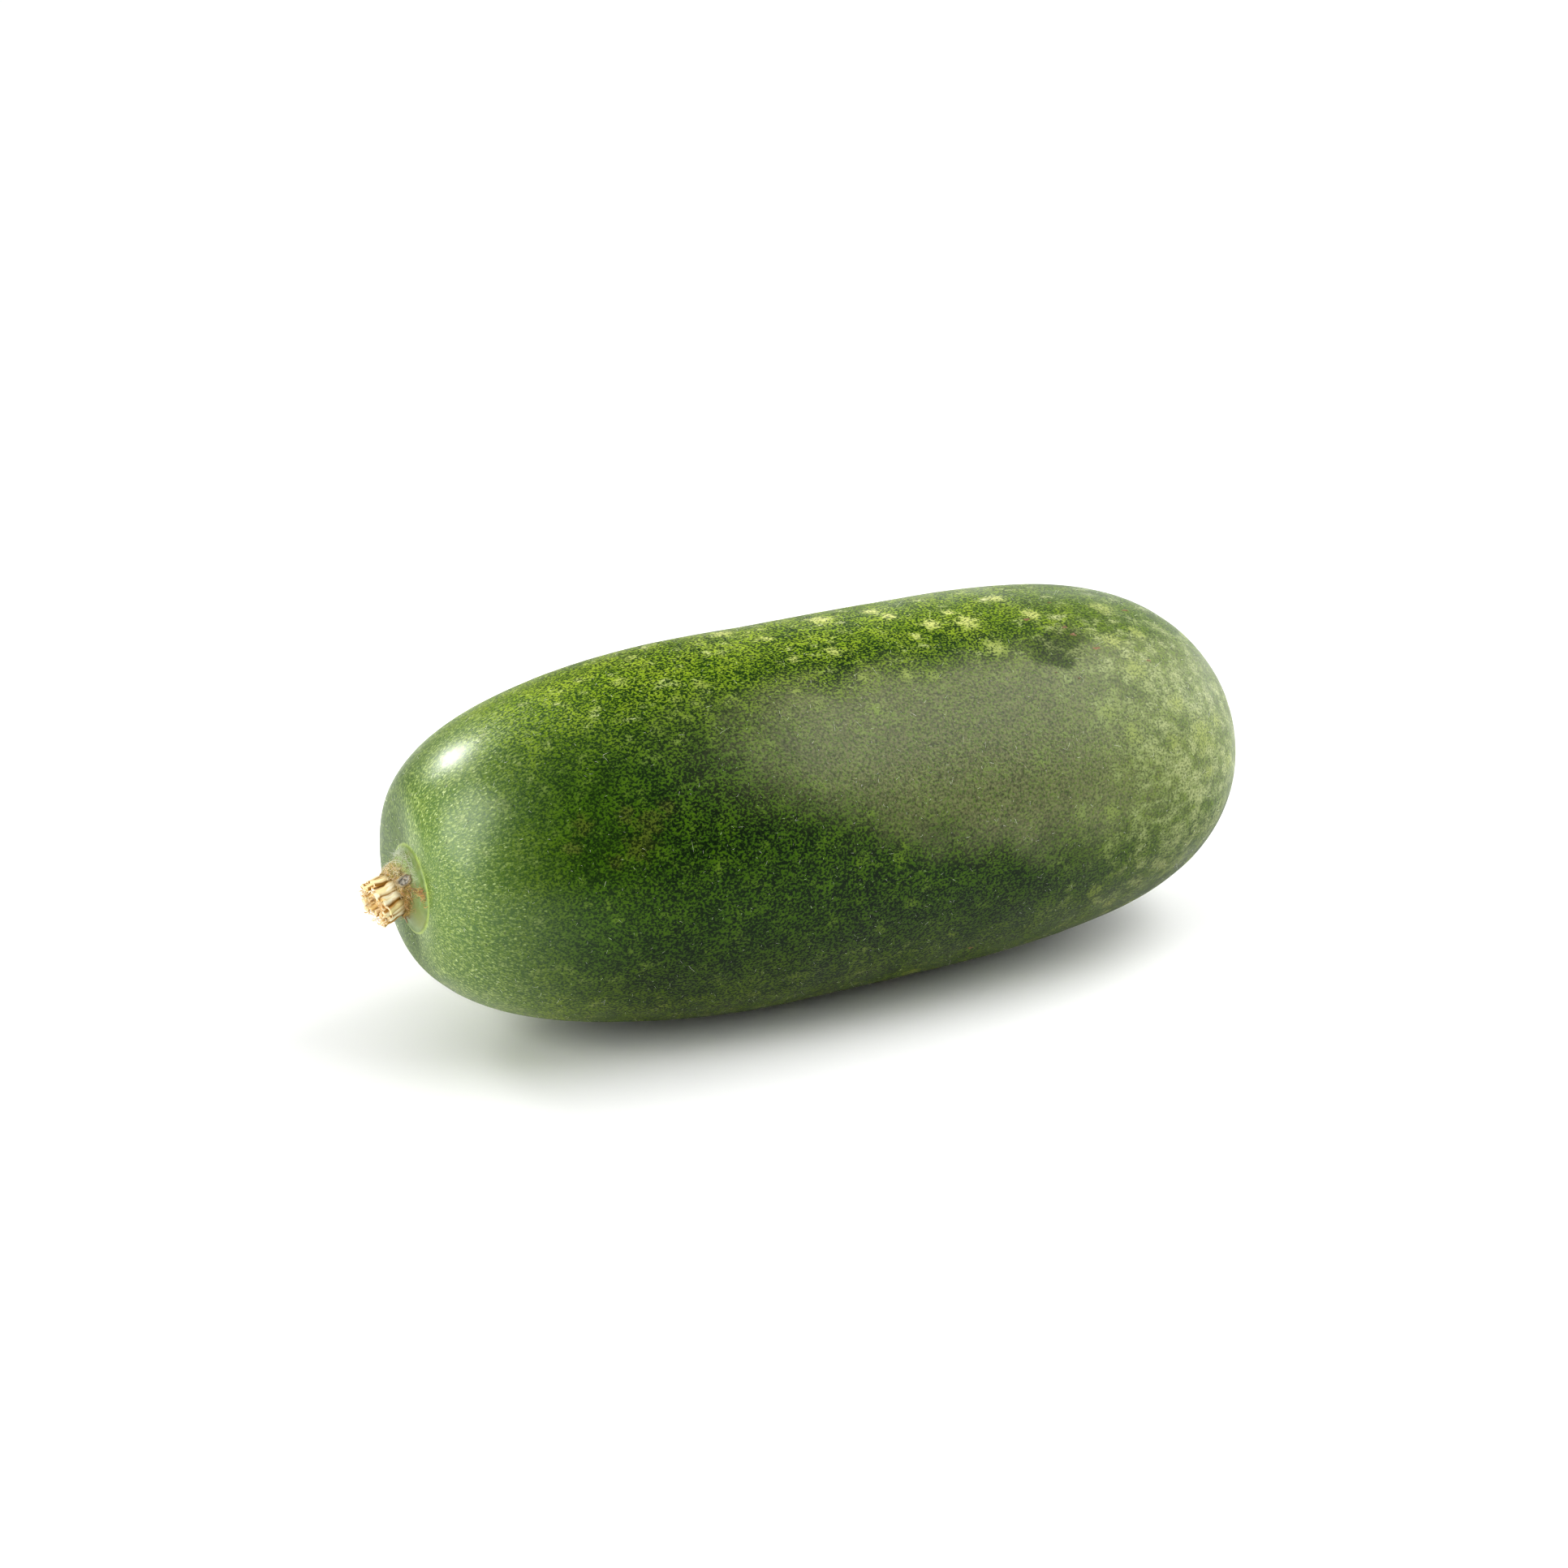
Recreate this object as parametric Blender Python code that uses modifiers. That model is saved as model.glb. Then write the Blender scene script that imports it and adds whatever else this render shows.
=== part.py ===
"""A whole fuzzy melon, lying on its side as picked, with the cut stub of its stalk.

Everything is in metres. The fruit's long axis lies along X with the stalk towards -X, and Z is up.
The origin is on the ground, under the middle of the box round the fruit and its stalk.
"""

import math
import random

import bmesh
import bpy
from mathutils import Matrix, Vector

# Driving dimensions of the fruit
LENGTH = 0.1644  # from pole to pole
WIDTH = 0.070  # across the widest place
TALLNESS = 0.96  # a section's height over its width
WIDEST_AT = 0.38  # the widest place, as a share of the length from the stalk
MIDDLE_BEND = (-0.0026, -0.0009)  # how far sideways and up the centre line bends at mid-length
STALK_END_BEND = (0.0005, -0.0013)  # the same at the stalk's pole
BLOSSOM_END_BEND = (-0.0025, -0.0010)  # the same at the blossom's pole
SCAR_RADIUS = 0.0030  # of the round scar that the blossom left
FLAT_DEPTH = 0.0006  # how much of the underside the flat spot takes off

# Driving dimensions of the collar and the stalk
COLLAR_RADIUS = 0.0076
COLLAR_HEIGHT = 0.0020  # from the fruit's pole to the lip round the stalk
COLLAR_PLACE = (-0.0036, -0.0001)  # sideways and up from the pole, because it grew a little off the middle
STALK_PLACE = (-0.0029, 0.0003)  # the same for the socket that the stalk stands in
LIP = 0.0004  # thickness of the lip round the stalk
SOCKET_DEPTH = 0.0009  # how far the socket goes in below the pole
STALK_RADIUS = 0.0039
STALK_LENGTH = 0.0077  # along its centre line, from its foot to its cut end
STALK_DROOP = (0.0, -0.10, -0.19)  # how the centre line turns aside and down, for each length of itself
STRAND_RADIUS = 0.00053
FIT_GAP = 0.0003

# Fineness
STEPS_ROUND = 64
STATIONS = 34  # rings of points along the skin
STRANDS = 22
STRAND_POINTS = 6


def girth(along):
    """The skin's radius at this distance from the stalk's pole: two rounded ends that share the widest place."""
    blunt_end, blunt_root = 1.84, 3.52
    round_end, round_root = 5.3, 2.0
    middle = WIDEST_AT * LENGTH
    if along < middle:
        share, power, root = 1 - along / middle, blunt_end, blunt_root
    else:
        share, power, root = (along - middle) / (LENGTH - middle), round_end, round_root
    return WIDTH / 2 * max(0.0, 1 - share**power) ** (1 / root)


def centre_line(along):
    """(sideways, up) of the section's middle at this distance from the stalk's pole."""
    place = 2 * along / LENGTH - 1
    bulge = 1 - place**2
    tail_start = 0.45
    stalk_tail = max(0.0, (-tail_start - place) / (1 - tail_start)) ** 2
    blossom_tail = max(0.0, (place - tail_start) / (1 - tail_start)) ** 2
    return tuple(
        middle * bulge + stalk_end * stalk_tail + blossom_end * blossom_tail
        for middle, stalk_end, blossom_end in zip(MIDDLE_BEND, STALK_END_BEND, BLOSSOM_END_BEND)
    )


def smooth_fade(share):
    """Falls from 1 to 0 as the share goes from 0 to 1, level at both ends."""
    share = min(max(share, 0.0), 1.0)
    return 1 - share * share * (3 - 2 * share)


def flattening(along):
    """A section's height over its width, which becomes a true circle at the collar."""
    fade_length = 0.006
    return TALLNESS + (1 - TALLNESS) * smooth_fade(along / fade_length)


def fruit_profile():
    """(radius, height) down the outer side of the upright fruit, from the stalk's socket to the blossom's scar."""
    socket = STALK_RADIUS + FIT_GAP
    points = [(0.0, -SOCKET_DEPTH), (socket, -SOCKET_DEPTH), (socket, COLLAR_HEIGHT - LIP / 2)]
    points += [(socket + LIP, COLLAR_HEIGHT), (socket + 2 * LIP, COLLAR_HEIGHT - LIP)]
    # The collar sinks away from the lip in a hollow curve and ends in a low edge.
    slope_start = socket + 2 * LIP
    rim_height = 0.00025
    slopes = 5
    for i in range(1, slopes + 1):
        share = i / slopes
        radius = slope_start + (COLLAR_RADIUS - slope_start) * share
        height = rim_height + (COLLAR_HEIGHT - LIP - rim_height) * (1 - share) ** 2
        points.append((radius, height))
    # The stations crowd towards both ends, where the skin turns over fastest.
    skin_start = 0.0004
    first_angle = math.acos(1 - 2 * skin_start / LENGTH)
    for i in range(STATIONS):
        angle = first_angle + (math.pi - first_angle) * i / (STATIONS - 1)
        along = LENGTH / 2 * (1 - math.cos(angle))
        if girth(along) > SCAR_RADIUS:
            points.append((girth(along), -along))
    # The scar is a shallow round dent with a small nub in its middle.
    edge_depth, dent_depth, inner_depth = 0.00015, 0.0005, 0.00035
    points += [(SCAR_RADIUS, edge_depth - LENGTH), (0.87 * SCAR_RADIUS, dent_depth - LENGTH)]
    points += [(0.4 * SCAR_RADIUS, inner_depth - LENGTH), (0.0, -LENGTH)]
    return points


def turned(name, profile):
    """A mesh object turned from a profile of (radius, height) points."""
    mesh = bpy.data.meshes.new(name)
    corners = [(radius, 0.0, height) for radius, height in profile]
    mesh.from_pydata(corners, [(i, i + 1) for i in range(len(corners) - 1)], [])
    outline = bpy.data.objects.new(name + "_outline", mesh)
    bpy.context.scene.collection.objects.link(outline)
    screw = outline.modifiers.new("turn", "SCREW")
    screw.axis = "Z"
    screw.steps = screw.render_steps = STEPS_ROUND
    screw.use_merge_vertices = True
    screw.merge_threshold = 0.00001
    return baked(outline, name)


def baked(source, name):
    """A plain mesh object with the shape that another object's modifiers give. The other object is removed."""
    graph = bpy.context.evaluated_depsgraph_get()
    mesh = bpy.data.meshes.new_from_object(source.evaluated_get(graph))
    result = bpy.data.objects.new(name, mesh)
    result.matrix_world = source.matrix_world
    bpy.data.objects.remove(source)
    return result


def off_the_middle(along, radius):
    """(sideways, up) by which the stalk's socket and its collar stand off the pole, fading out over the skin."""
    if along > LENGTH / 2:
        return 0.0, 0.0
    lip_radius = STALK_RADIUS + FIT_GAP + 2 * LIP
    stalk_share = smooth_fade((radius - lip_radius) / (COLLAR_RADIUS - lip_radius))
    fade_width = 0.009
    skin_fade = smooth_fade((radius - COLLAR_RADIUS) / fade_width)
    return tuple(
        (at_collar + (at_stalk - at_collar) * stalk_share) * skin_fade
        for at_collar, at_stalk in zip(COLLAR_PLACE, STALK_PLACE)
    )


def lay_down(fruit):
    """Turns the upright fruit onto its side, bends it along its centre line and moves its collar off the pole."""
    for vertex in fruit.data.vertices:
        along, across, up = -vertex.co.z, vertex.co.y, vertex.co.x
        bend_sideways, bend_up = centre_line(along)
        shift_sideways, shift_up = off_the_middle(along, math.hypot(across, up))
        vertex.co = (
            along,
            across + bend_sideways + shift_sideways,
            flattening(along) * up + bend_up + shift_up,
        )


def stalk_line(share):
    """(point, direction) on the stalk's centre line, which leaves the socket straight and droops."""
    pole_sideways, pole_up = centre_line(0.0)
    foot = Vector((SOCKET_DEPTH - FIT_GAP, pole_sideways + STALK_PLACE[0], pole_up + STALK_PLACE[1]))
    leaving = Vector((-1.0, 0.0, 0.0))
    droop = Vector(STALK_DROOP)
    distance = STALK_LENGTH * share
    point = foot + leaving * distance + droop * distance * share
    return point, (leaving + 2 * droop * share).normalized()


def tube(name, points, radius, sides_setting):
    """A straight-sided tube along these points, as a closed mesh object."""
    curve = bpy.data.curves.new(name, "CURVE")
    curve.dimensions = "3D"
    curve.bevel_depth = radius
    curve.bevel_resolution = sides_setting
    curve.use_fill_caps = True
    spline = curve.splines.new("POLY")
    spline.points.add(len(points) - 1)
    for place, point in zip(spline.points, points):
        place.co = (*point, 1.0)
    path = bpy.data.objects.new(name + "_path", curve)
    bpy.context.scene.collection.objects.link(path)
    result = baked(path, name)
    shape = bmesh.new()
    shape.from_mesh(result.data)
    bmesh.ops.remove_doubles(shape, verts=shape.verts, dist=1e-6)
    bmesh.ops.recalc_face_normals(shape, faces=shape.faces)
    shape.to_mesh(result.data)
    shape.free()
    return result


def make_stalk():
    """A soft core, cut back inside, with a ring of woody strands fused to it and broken off at uneven lengths."""
    draw = random.Random(11)
    ring_radius = STALK_RADIUS - STRAND_RADIUS
    core_share = 0.86
    core_parts = 4
    core_points = [stalk_line(core_share * i / core_parts)[0] for i in range(core_parts + 1)]
    core = tube("core", core_points, ring_radius, 4)
    bundle = bpy.data.collections.new("strands")
    bpy.context.scene.collection.children.link(bundle)
    for i in range(STRANDS):
        angle = 2 * math.pi * (i + draw.uniform(-0.12, 0.12)) / STRANDS
        reach = draw.uniform(0.92, 1.0)
        splay = draw.uniform(-0.00015, 0.00025)
        points = []
        for j in range(STRAND_POINTS):
            share = reach * (0.01 + 0.99 * j / (STRAND_POINTS - 1))
            middle, direction = stalk_line(share)
            side = Vector((0.0, 1.0, 0.0))
            side = (side - direction * side.dot(direction)).normalized()
            top = side.cross(direction).normalized()
            out = side * math.cos(angle) + top * math.sin(angle)
            points.append(middle + out * (ring_radius + splay * share**3))
        bundle.objects.link(tube(f"strand_{i}", points, STRAND_RADIUS, 1))
    bpy.context.scene.collection.objects.link(core)
    join = core.modifiers.new("join", "BOOLEAN")
    join.operation = "UNION"
    join.operand_type = "COLLECTION"
    join.collection = bundle
    stalk = baked(core, "stem")
    for strand in list(bundle.objects):
        bpy.data.objects.remove(strand)
    bpy.data.collections.remove(bundle)
    return stalk


def set_down(pieces):
    """Moves the meshes so that the box round them stands over the origin, sunk by the flat spot's depth."""
    places = [vertex.co for piece in pieces for vertex in piece.data.vertices]
    low = Vector([min(place[i] for place in places) for i in range(3)])
    high = Vector([max(place[i] for place in places) for i in range(3)])
    middle = (low + high) / 2
    for piece in pieces:
        piece.data.transform(Matrix.Translation((-middle.x, -middle.y, -low.z - FLAT_DEPTH)))


def cut_flat_spot(fruit, cutters):
    """Takes off what lies below the ground, which leaves a small flat spot to rest on."""
    margin = 0.02
    shape = bmesh.new()
    bmesh.ops.create_cube(shape, size=1.0)
    bmesh.ops.scale(shape, verts=shape.verts, vec=(LENGTH + margin, WIDTH + margin, margin))
    bmesh.ops.translate(shape, verts=shape.verts, vec=(0.0, 0.0, -margin / 2))
    mesh = bpy.data.meshes.new("ground")
    shape.to_mesh(mesh)
    shape.free()
    ground = bpy.data.objects.new("ground", mesh)
    ground.hide_render = True
    ground.display_type = "WIRE"
    cutters.objects.link(ground)
    cut = fruit.modifiers.new("flat spot", "BOOLEAN")
    cut.operation = "DIFFERENCE"
    cut.object = ground


def painted(name, colour, roughness):
    """A plain material of one colour."""
    material = bpy.data.materials.new(name)
    material.use_nodes = True
    surface = material.node_tree.nodes["Principled BSDF"]
    surface.inputs["Base Color"].default_value = (*colour, 1.0)
    surface.inputs["Roughness"].default_value = roughness
    surface.inputs["Metallic"].default_value = 0.0
    return material


def finish(piece, collection, material, crease):
    """Gives a piece its one material and smooth shading, and puts it in the melon's collection."""
    piece.data.materials.clear()
    piece.data.materials.append(material)
    piece.data.shade_smooth()
    piece.data.set_sharp_from_angle(angle=math.radians(crease))
    collection.objects.link(piece)


def collection_named(name):
    collection = bpy.data.collections.new(name)
    bpy.context.scene.collection.children.link(collection)
    return collection


for leftover in list(bpy.data.objects):
    bpy.data.objects.remove(leftover)

fruit = turned("fruit", fruit_profile())
lay_down(fruit)
stem = make_stalk()
set_down([fruit, stem])

melon = collection_named("fuzzy_melon")
finish(fruit, melon, painted("green skin", (0.075, 0.150, 0.025), 0.45), 40)
finish(stem, melon, painted("dry stalk", (0.62, 0.46, 0.24), 0.80), 30)
cut_flat_spot(fruit, collection_named("cutters"))
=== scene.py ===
"""Looks of one whole fuzzy melon, lying on a pale table under studio light."""
import math
import random

import bpy
import numpy as np
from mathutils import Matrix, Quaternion, Vector, noise
from mathutils.bvhtree import BVHTree


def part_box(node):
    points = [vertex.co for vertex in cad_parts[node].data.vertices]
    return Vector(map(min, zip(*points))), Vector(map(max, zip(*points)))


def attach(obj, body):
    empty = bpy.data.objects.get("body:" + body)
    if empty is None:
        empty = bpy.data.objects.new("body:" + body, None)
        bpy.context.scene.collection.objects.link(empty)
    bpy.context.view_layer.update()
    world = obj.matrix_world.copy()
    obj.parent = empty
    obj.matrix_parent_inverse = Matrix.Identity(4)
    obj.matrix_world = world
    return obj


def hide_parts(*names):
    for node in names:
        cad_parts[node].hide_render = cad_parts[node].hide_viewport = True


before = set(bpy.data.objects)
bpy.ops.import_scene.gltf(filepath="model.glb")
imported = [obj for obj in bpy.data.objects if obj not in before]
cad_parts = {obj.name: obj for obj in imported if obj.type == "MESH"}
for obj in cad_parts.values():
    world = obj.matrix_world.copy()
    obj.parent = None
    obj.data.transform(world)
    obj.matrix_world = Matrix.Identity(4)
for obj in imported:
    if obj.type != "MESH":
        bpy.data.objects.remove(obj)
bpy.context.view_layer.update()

scene = bpy.context.scene

# The view.
# The fruit is seen from its left front, a little from above, from about two thirds of a metre away. The
# camera looks at the point that lies in the middle of the picture.
VIEW_TURN = math.radians(28.2)
VIEW_HEIGHT = math.radians(22.0)
VIEW_DISTANCE = 0.6513
VIEW_AIM = Vector((-0.0005, 0.0089, 0.0339))
VIEW_LENS = 82.0
SENSOR_WIDTH = 36.0

to_camera = Vector((
    -math.sin(VIEW_TURN) * math.cos(VIEW_HEIGHT),
    -math.cos(VIEW_TURN) * math.cos(VIEW_HEIGHT),
    math.sin(VIEW_HEIGHT),
))
camera_data = bpy.data.cameras.new("camera")
camera_data.lens = VIEW_LENS
camera_data.sensor_width = SENSOR_WIDTH
camera_data.clip_start = 0.01
camera = bpy.data.objects.new("camera", camera_data)
camera.location = VIEW_AIM + to_camera * VIEW_DISTANCE
camera.rotation_euler = to_camera.to_track_quat("Z", "Y").to_euler()
scene.collection.objects.link(camera)
scene.camera = camera
scene.view_settings.view_transform = "Standard"
scene.view_settings.look = "Medium High Contrast"

# The studio.
# Seven square lamps stand round the fruit. Three of them light it and don't show in its gloss, two on the
# left show only in its gloss, and the window on the right and the bright wall behind do both.
ROOM_LIGHT = 0.14


def put_lamp(name, turn, height, distance, size, brightness, shines=True, lights=True):
    """Aims a square lamp at the fruit. The turn is counted to the right from the camera, in degrees."""
    bearing = math.radians(turn) - VIEW_TURN
    raised = math.radians(height)
    place = Vector((
        math.sin(bearing) * math.cos(raised),
        -math.cos(bearing) * math.cos(raised),
        math.sin(raised),
    ))
    lamp = bpy.data.lights.new(name, "AREA")
    lamp.shape = "RECTANGLE"
    lamp.size, lamp.size_y = size
    lamp.energy = brightness * math.pi * size[0] * size[1]
    holder = bpy.data.objects.new(name, lamp)
    holder.location = place * distance + VIEW_AIM
    holder.rotation_euler = place.to_track_quat("Z", "Y").to_euler()
    holder.visible_glossy = shines
    holder.visible_diffuse = lights
    holder.visible_camera = False
    scene.collection.objects.link(holder)


put_lamp("lamp_behind_left", -126, 36, 1.2, (0.32, 0.32), 6.0, shines=False)
put_lamp("spark_behind_left", -126, 34, 1.2, (0.26, 0.26), 36.0, lights=False)
put_lamp("window_right", 98, 36, 1.3, (1.6, 1.6), 2.7)
put_lamp("window_left", -50, 24, 1.3, (0.5, 0.9), 7.5, shines=False)
put_lamp("gleam_left", -66, 27, 1.3, (0.75, 1.2), 5.2, lights=False)
put_lamp("wall_behind", 146, 8, 2.2, (3.0, 0.7), 2.0)
put_lamp("lamp_overhead", 180, 72, 1.6, (3.4, 3.4), 0.72, shines=False)

world = bpy.data.worlds.new("studio")
world.use_nodes = True
world.node_tree.nodes["Background"].inputs["Color"].default_value = (1.0, 1.0, 1.0, 1.0)
world.node_tree.nodes["Background"].inputs["Strength"].default_value = ROOM_LIGHT
scene.world = world

# The table.
# The fruit lies on a wide round sheet of white laminate, matt and almost plain. It is staging, and not a
# part of the fruit.
TABLE_REACH = 1.3
TABLE_CORNERS = 64


def paint(red, green, blue):
    """A colour as it is read from a screen, 0 to 255, in the numbers that a shader takes."""
    shares = [value / 255 for value in (red, green, blue)]
    return [s / 12.92 if s <= 0.04045 else ((s + 0.055) / 1.055) ** 2.4 for s in shares] + [1.0]


def add_node(tree, kind, inputs, **settings):
    """Adds a shader node. An input takes a plain value or the output that feeds it."""
    made = tree.nodes.new(kind)
    for name, value in settings.items():
        setattr(made, name, value)
    for socket, value in inputs.items():
        if isinstance(value, bpy.types.NodeSocket):
            tree.links.new(value, made.inputs[socket])
        else:
            made.inputs[socket].default_value = value
    return made


def new_material(name, **finish):
    """A material with one Principled shader, and the settings that are the same all over its surface."""
    material = bpy.data.materials.new(name)
    material.use_nodes = True
    shader = material.node_tree.nodes["Principled BSDF"]
    for socket, value in finish.items():
        shader.inputs[socket.replace("_", " ")].default_value = value
    return material, material.node_tree, shader


def mix_colours(tree, share, first, second, blend="MIX"):
    inputs = {0: share, 6: first, 7: second}
    return add_node(tree, "ShaderNodeMix", inputs, data_type="RGBA", blend_type=blend).outputs[2]


def cloud(tree, place, size, detail=2.0, roughness=0.5):
    """A soft noise, about size across. It runs around 0.5."""
    inputs = {"Vector": place, "Scale": 1.0 / size, "Detail": detail, "Roughness": roughness}
    return add_node(tree, "ShaderNodeTexNoise", inputs).outputs[0]


def place_in_mm(tree):
    """Where a point of the piece is, in millimetres."""
    place = add_node(tree, "ShaderNodeTexCoord", {}).outputs["Object"]
    return add_node(tree, "ShaderNodeVectorMath", {0: place, "Scale": 1000.0}, operation="SCALE").outputs[0]


def new_piece(name, points, faces, material=None):
    """A smooth mesh piece in the scene."""
    mesh = bpy.data.meshes.new(name)
    mesh.from_pydata([tuple(point) for point in points], [], faces)
    mesh.update()
    mesh.shade_smooth()
    if material:
        mesh.materials.append(material)
    piece = bpy.data.objects.new(name, mesh)
    scene.collection.objects.link(piece)
    return piece


white_laminate, tree, shader = new_material("white laminate", Roughness=0.6)
smudges = cloud(tree, place_in_mm(tree), 60.0)
colour = mix_colours(tree, smudges, paint(250, 250, 250), paint(246, 246, 246))
tree.links.new(colour, shader.inputs["Base Color"])
turns = [2 * math.pi * step / TABLE_CORNERS for step in range(TABLE_CORNERS)]
table_edge = [(TABLE_REACH * math.cos(turn), TABLE_REACH * math.sin(turn), 0.0) for turn in turns]
table = new_piece("table", table_edge, [range(TABLE_CORNERS)], white_laminate)

# The backdrop.
# A round wall of lit white paper stands on the edge of the table. Only the camera sees it, so it lights
# nothing. It is staging, as the table is.
BACKDROP_HEIGHT = 1.5


def ring_faces(rings, count, first=0):
    """Quads between rings of points that follow one another."""
    faces = []
    for ring in range(rings - 1):
        for step in range(count):
            after = (step + 1) % count
            low, high = first + ring * count, first + (ring + 1) * count
            faces.append((low + step, low + after, high + after, high + step))
    return faces


white_paper, tree, shader = new_material("white paper", Roughness=0.9, Emission_Strength=1.0)
fibres = cloud(tree, place_in_mm(tree), 60.0)
colour = mix_colours(tree, fibres, paint(255, 255, 255), paint(250, 250, 250))
tree.links.new(colour, shader.inputs["Emission Color"])
wall_top = [(x, y, BACKDROP_HEIGHT) for x, y, z in table_edge]
backdrop = new_piece("backdrop", table_edge + wall_top, ring_faces(2, TABLE_CORNERS), white_paper)
backdrop.visible_glossy = False
backdrop.visible_diffuse = False
backdrop.visible_shadow = False

# The skin.
# The whole outside of the fruit grew as one piece: a long round body, a pale raised collar where the stalk
# stood, and the dry scar of the blossom at the other end. It is flat only in the small spot where the fruit
# rests.
MM = 0.001
LENGTH = 164.4 * MM
WIDTH = 70.0 * MM
TALLNESS = 0.96
WIDEST_AT = 0.38 * LENGTH
STALK_END_CURVE = (1.84, 3.52)
BLOSSOM_END_CURVE = (5.3, 2.0)
ROUND_AT_STALK = 6 * MM
MIDDLE_BEND = (-2.6 * MM, -0.9 * MM)
STALK_END_BEND = (0.5 * MM, -1.3 * MM)
BLOSSOM_END_BEND = (-2.5 * MM, -1.0 * MM)
STRAIGHT_SHARE = 0.45
FLAT_DEPTH = 0.6 * MM
SCAR_RADIUS = 3.0 * MM
SCAR_OUTLINE = ((0.15 * MM, 1.0), (0.5 * MM, 0.87), (0.35 * MM, 0.4), (0.0, 0.0))
COLLAR_RADIUS = 7.3 * MM
COLLAR_HEIGHT = 2.0 * MM
COLLAR_PLACE = (-3.3 * MM, 0.0)
STALK_PLACE = (-2.8 * MM, 0.5 * MM)
COLLAR_SHIFT_FADE = 9 * MM
LIP = 0.4 * MM
SOCKET_DEPTH = 0.9 * MM
SOCKET_RADIUS = 4.2 * MM
LIP_RADIUS = SOCKET_RADIUS + 2 * LIP
RIM_HEIGHT = 0.16 * MM
RIM_FOOT = COLLAR_RADIUS + 0.22 * MM
BODY_START = COLLAR_RADIUS + 0.5 * MM
POINTS_ROUND = 288
COLLAR_STEPS = 24
BODY_STEPS = 3000
CLOSE_RINGS = 0.25 * MM
WIDE_RINGS = 0.85 * MM
CLOSE_AT_COLLAR = (2 * MM, 22 * MM)
CLOSE_AT_SCAR = (3 * MM, 20 * MM)
LUMPS = ((0.22 * MM, 26 * MM), (0.06 * MM, 8 * MM), (0.015 * MM, 2.4 * MM))
LUMPS_START = 8 * MM
GRAIN_GIRTH = 35.0
GRAIN_NARROWING = 17.0
NARROWING_REACH = 35 * MM


def girth(along):
    """The radius of the body at a distance along it from the stalk end."""
    if along < WIDEST_AT:
        share = 1 - along / WIDEST_AT
        power, root = STALK_END_CURVE
    else:
        share = (along - WIDEST_AT) / (LENGTH - WIDEST_AT)
        power, root = BLOSSOM_END_CURVE
    return WIDTH / 2 * max(0.0, 1 - share**power) ** (1 / root)


def smooth_fade(share):
    """Falls smoothly from 1 to 0 as share goes from 0 to 1."""
    share = min(max(share, 0.0), 1.0)
    return 1 - share * share * (3 - 2 * share)


def centre_line(along):
    """How far the middle of the body has moved sideways and up at a distance along it."""
    place = 2 * along / LENGTH - 1
    bulge = 1 - place * place
    stalk_tail = max(0.0, (-STRAIGHT_SHARE - place) / (1 - STRAIGHT_SHARE)) ** 2
    blossom_tail = max(0.0, (place - STRAIGHT_SHARE) / (1 - STRAIGHT_SHARE)) ** 2
    bends = zip(MIDDLE_BEND, STALK_END_BEND, BLOSSOM_END_BEND)
    return [m * bulge + s * stalk_tail + b * blossom_tail for m, s, b in bends]


def off_the_middle(along, radius):
    """How far the collar and the socket in it stand beside the middle of the body."""
    if along > LENGTH / 2:
        return [0.0, 0.0]
    stalk_share = smooth_fade((radius - LIP_RADIUS) / (COLLAR_RADIUS - LIP_RADIUS))
    skin_fade = smooth_fade((radius - COLLAR_RADIUS) / COLLAR_SHIFT_FADE)
    return [(c + (s - c) * stalk_share) * skin_fade for c, s in zip(COLLAR_PLACE, STALK_PLACE)]


def on_body(along, radius, angle):
    """A point of the body. The angle is 0 on the far side, a quarter turn on top and half a turn in front."""
    sideways, up = centre_line(along)
    shift_sideways, shift_up = off_the_middle(along, radius)
    flat = TALLNESS + (1 - TALLNESS) * smooth_fade(along / ROUND_AT_STALK)
    return Vector((
        along,
        radius * math.cos(angle) + sideways + shift_sideways,
        flat * radius * math.sin(angle) + up + shift_up,
    ))


def collar_height(radius):
    """How far the collar stands out from the pole at a distance from its middle."""
    share = (radius - LIP_RADIUS) / (COLLAR_RADIUS - LIP_RADIUS)
    return RIM_HEIGHT + (COLLAR_HEIGHT - LIP - RIM_HEIGHT) * (1 - share) ** 2


def skin_profile():
    """The outline from the middle of the socket to the middle of the scar, as (along, radius) points."""
    outline = [(SOCKET_DEPTH, 0.0), (SOCKET_DEPTH, SOCKET_RADIUS), (LIP / 2 - COLLAR_HEIGHT, SOCKET_RADIUS)]
    outline += [(-COLLAR_HEIGHT, SOCKET_RADIUS + LIP), (LIP - COLLAR_HEIGHT, LIP_RADIUS)]
    for step in range(1, COLLAR_STEPS + 1):
        radius = LIP_RADIUS + (COLLAR_RADIUS - LIP_RADIUS) * step / COLLAR_STEPS
        outline.append((-collar_height(radius), radius))
    outline.append((-0.2 * RIM_HEIGHT, RIM_FOOT))
    for step in range(BODY_STEPS):
        along = LENGTH * (1 - math.cos(math.pi * step / BODY_STEPS)) / 2
        radius = girth(along)
        if radius > (BODY_START if along < LENGTH / 2 else SCAR_RADIUS):
            outline.append((along, radius))
    outline += [(LENGTH - depth, share * SCAR_RADIUS) for depth, share in SCAR_OUTLINE]
    return outline


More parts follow.
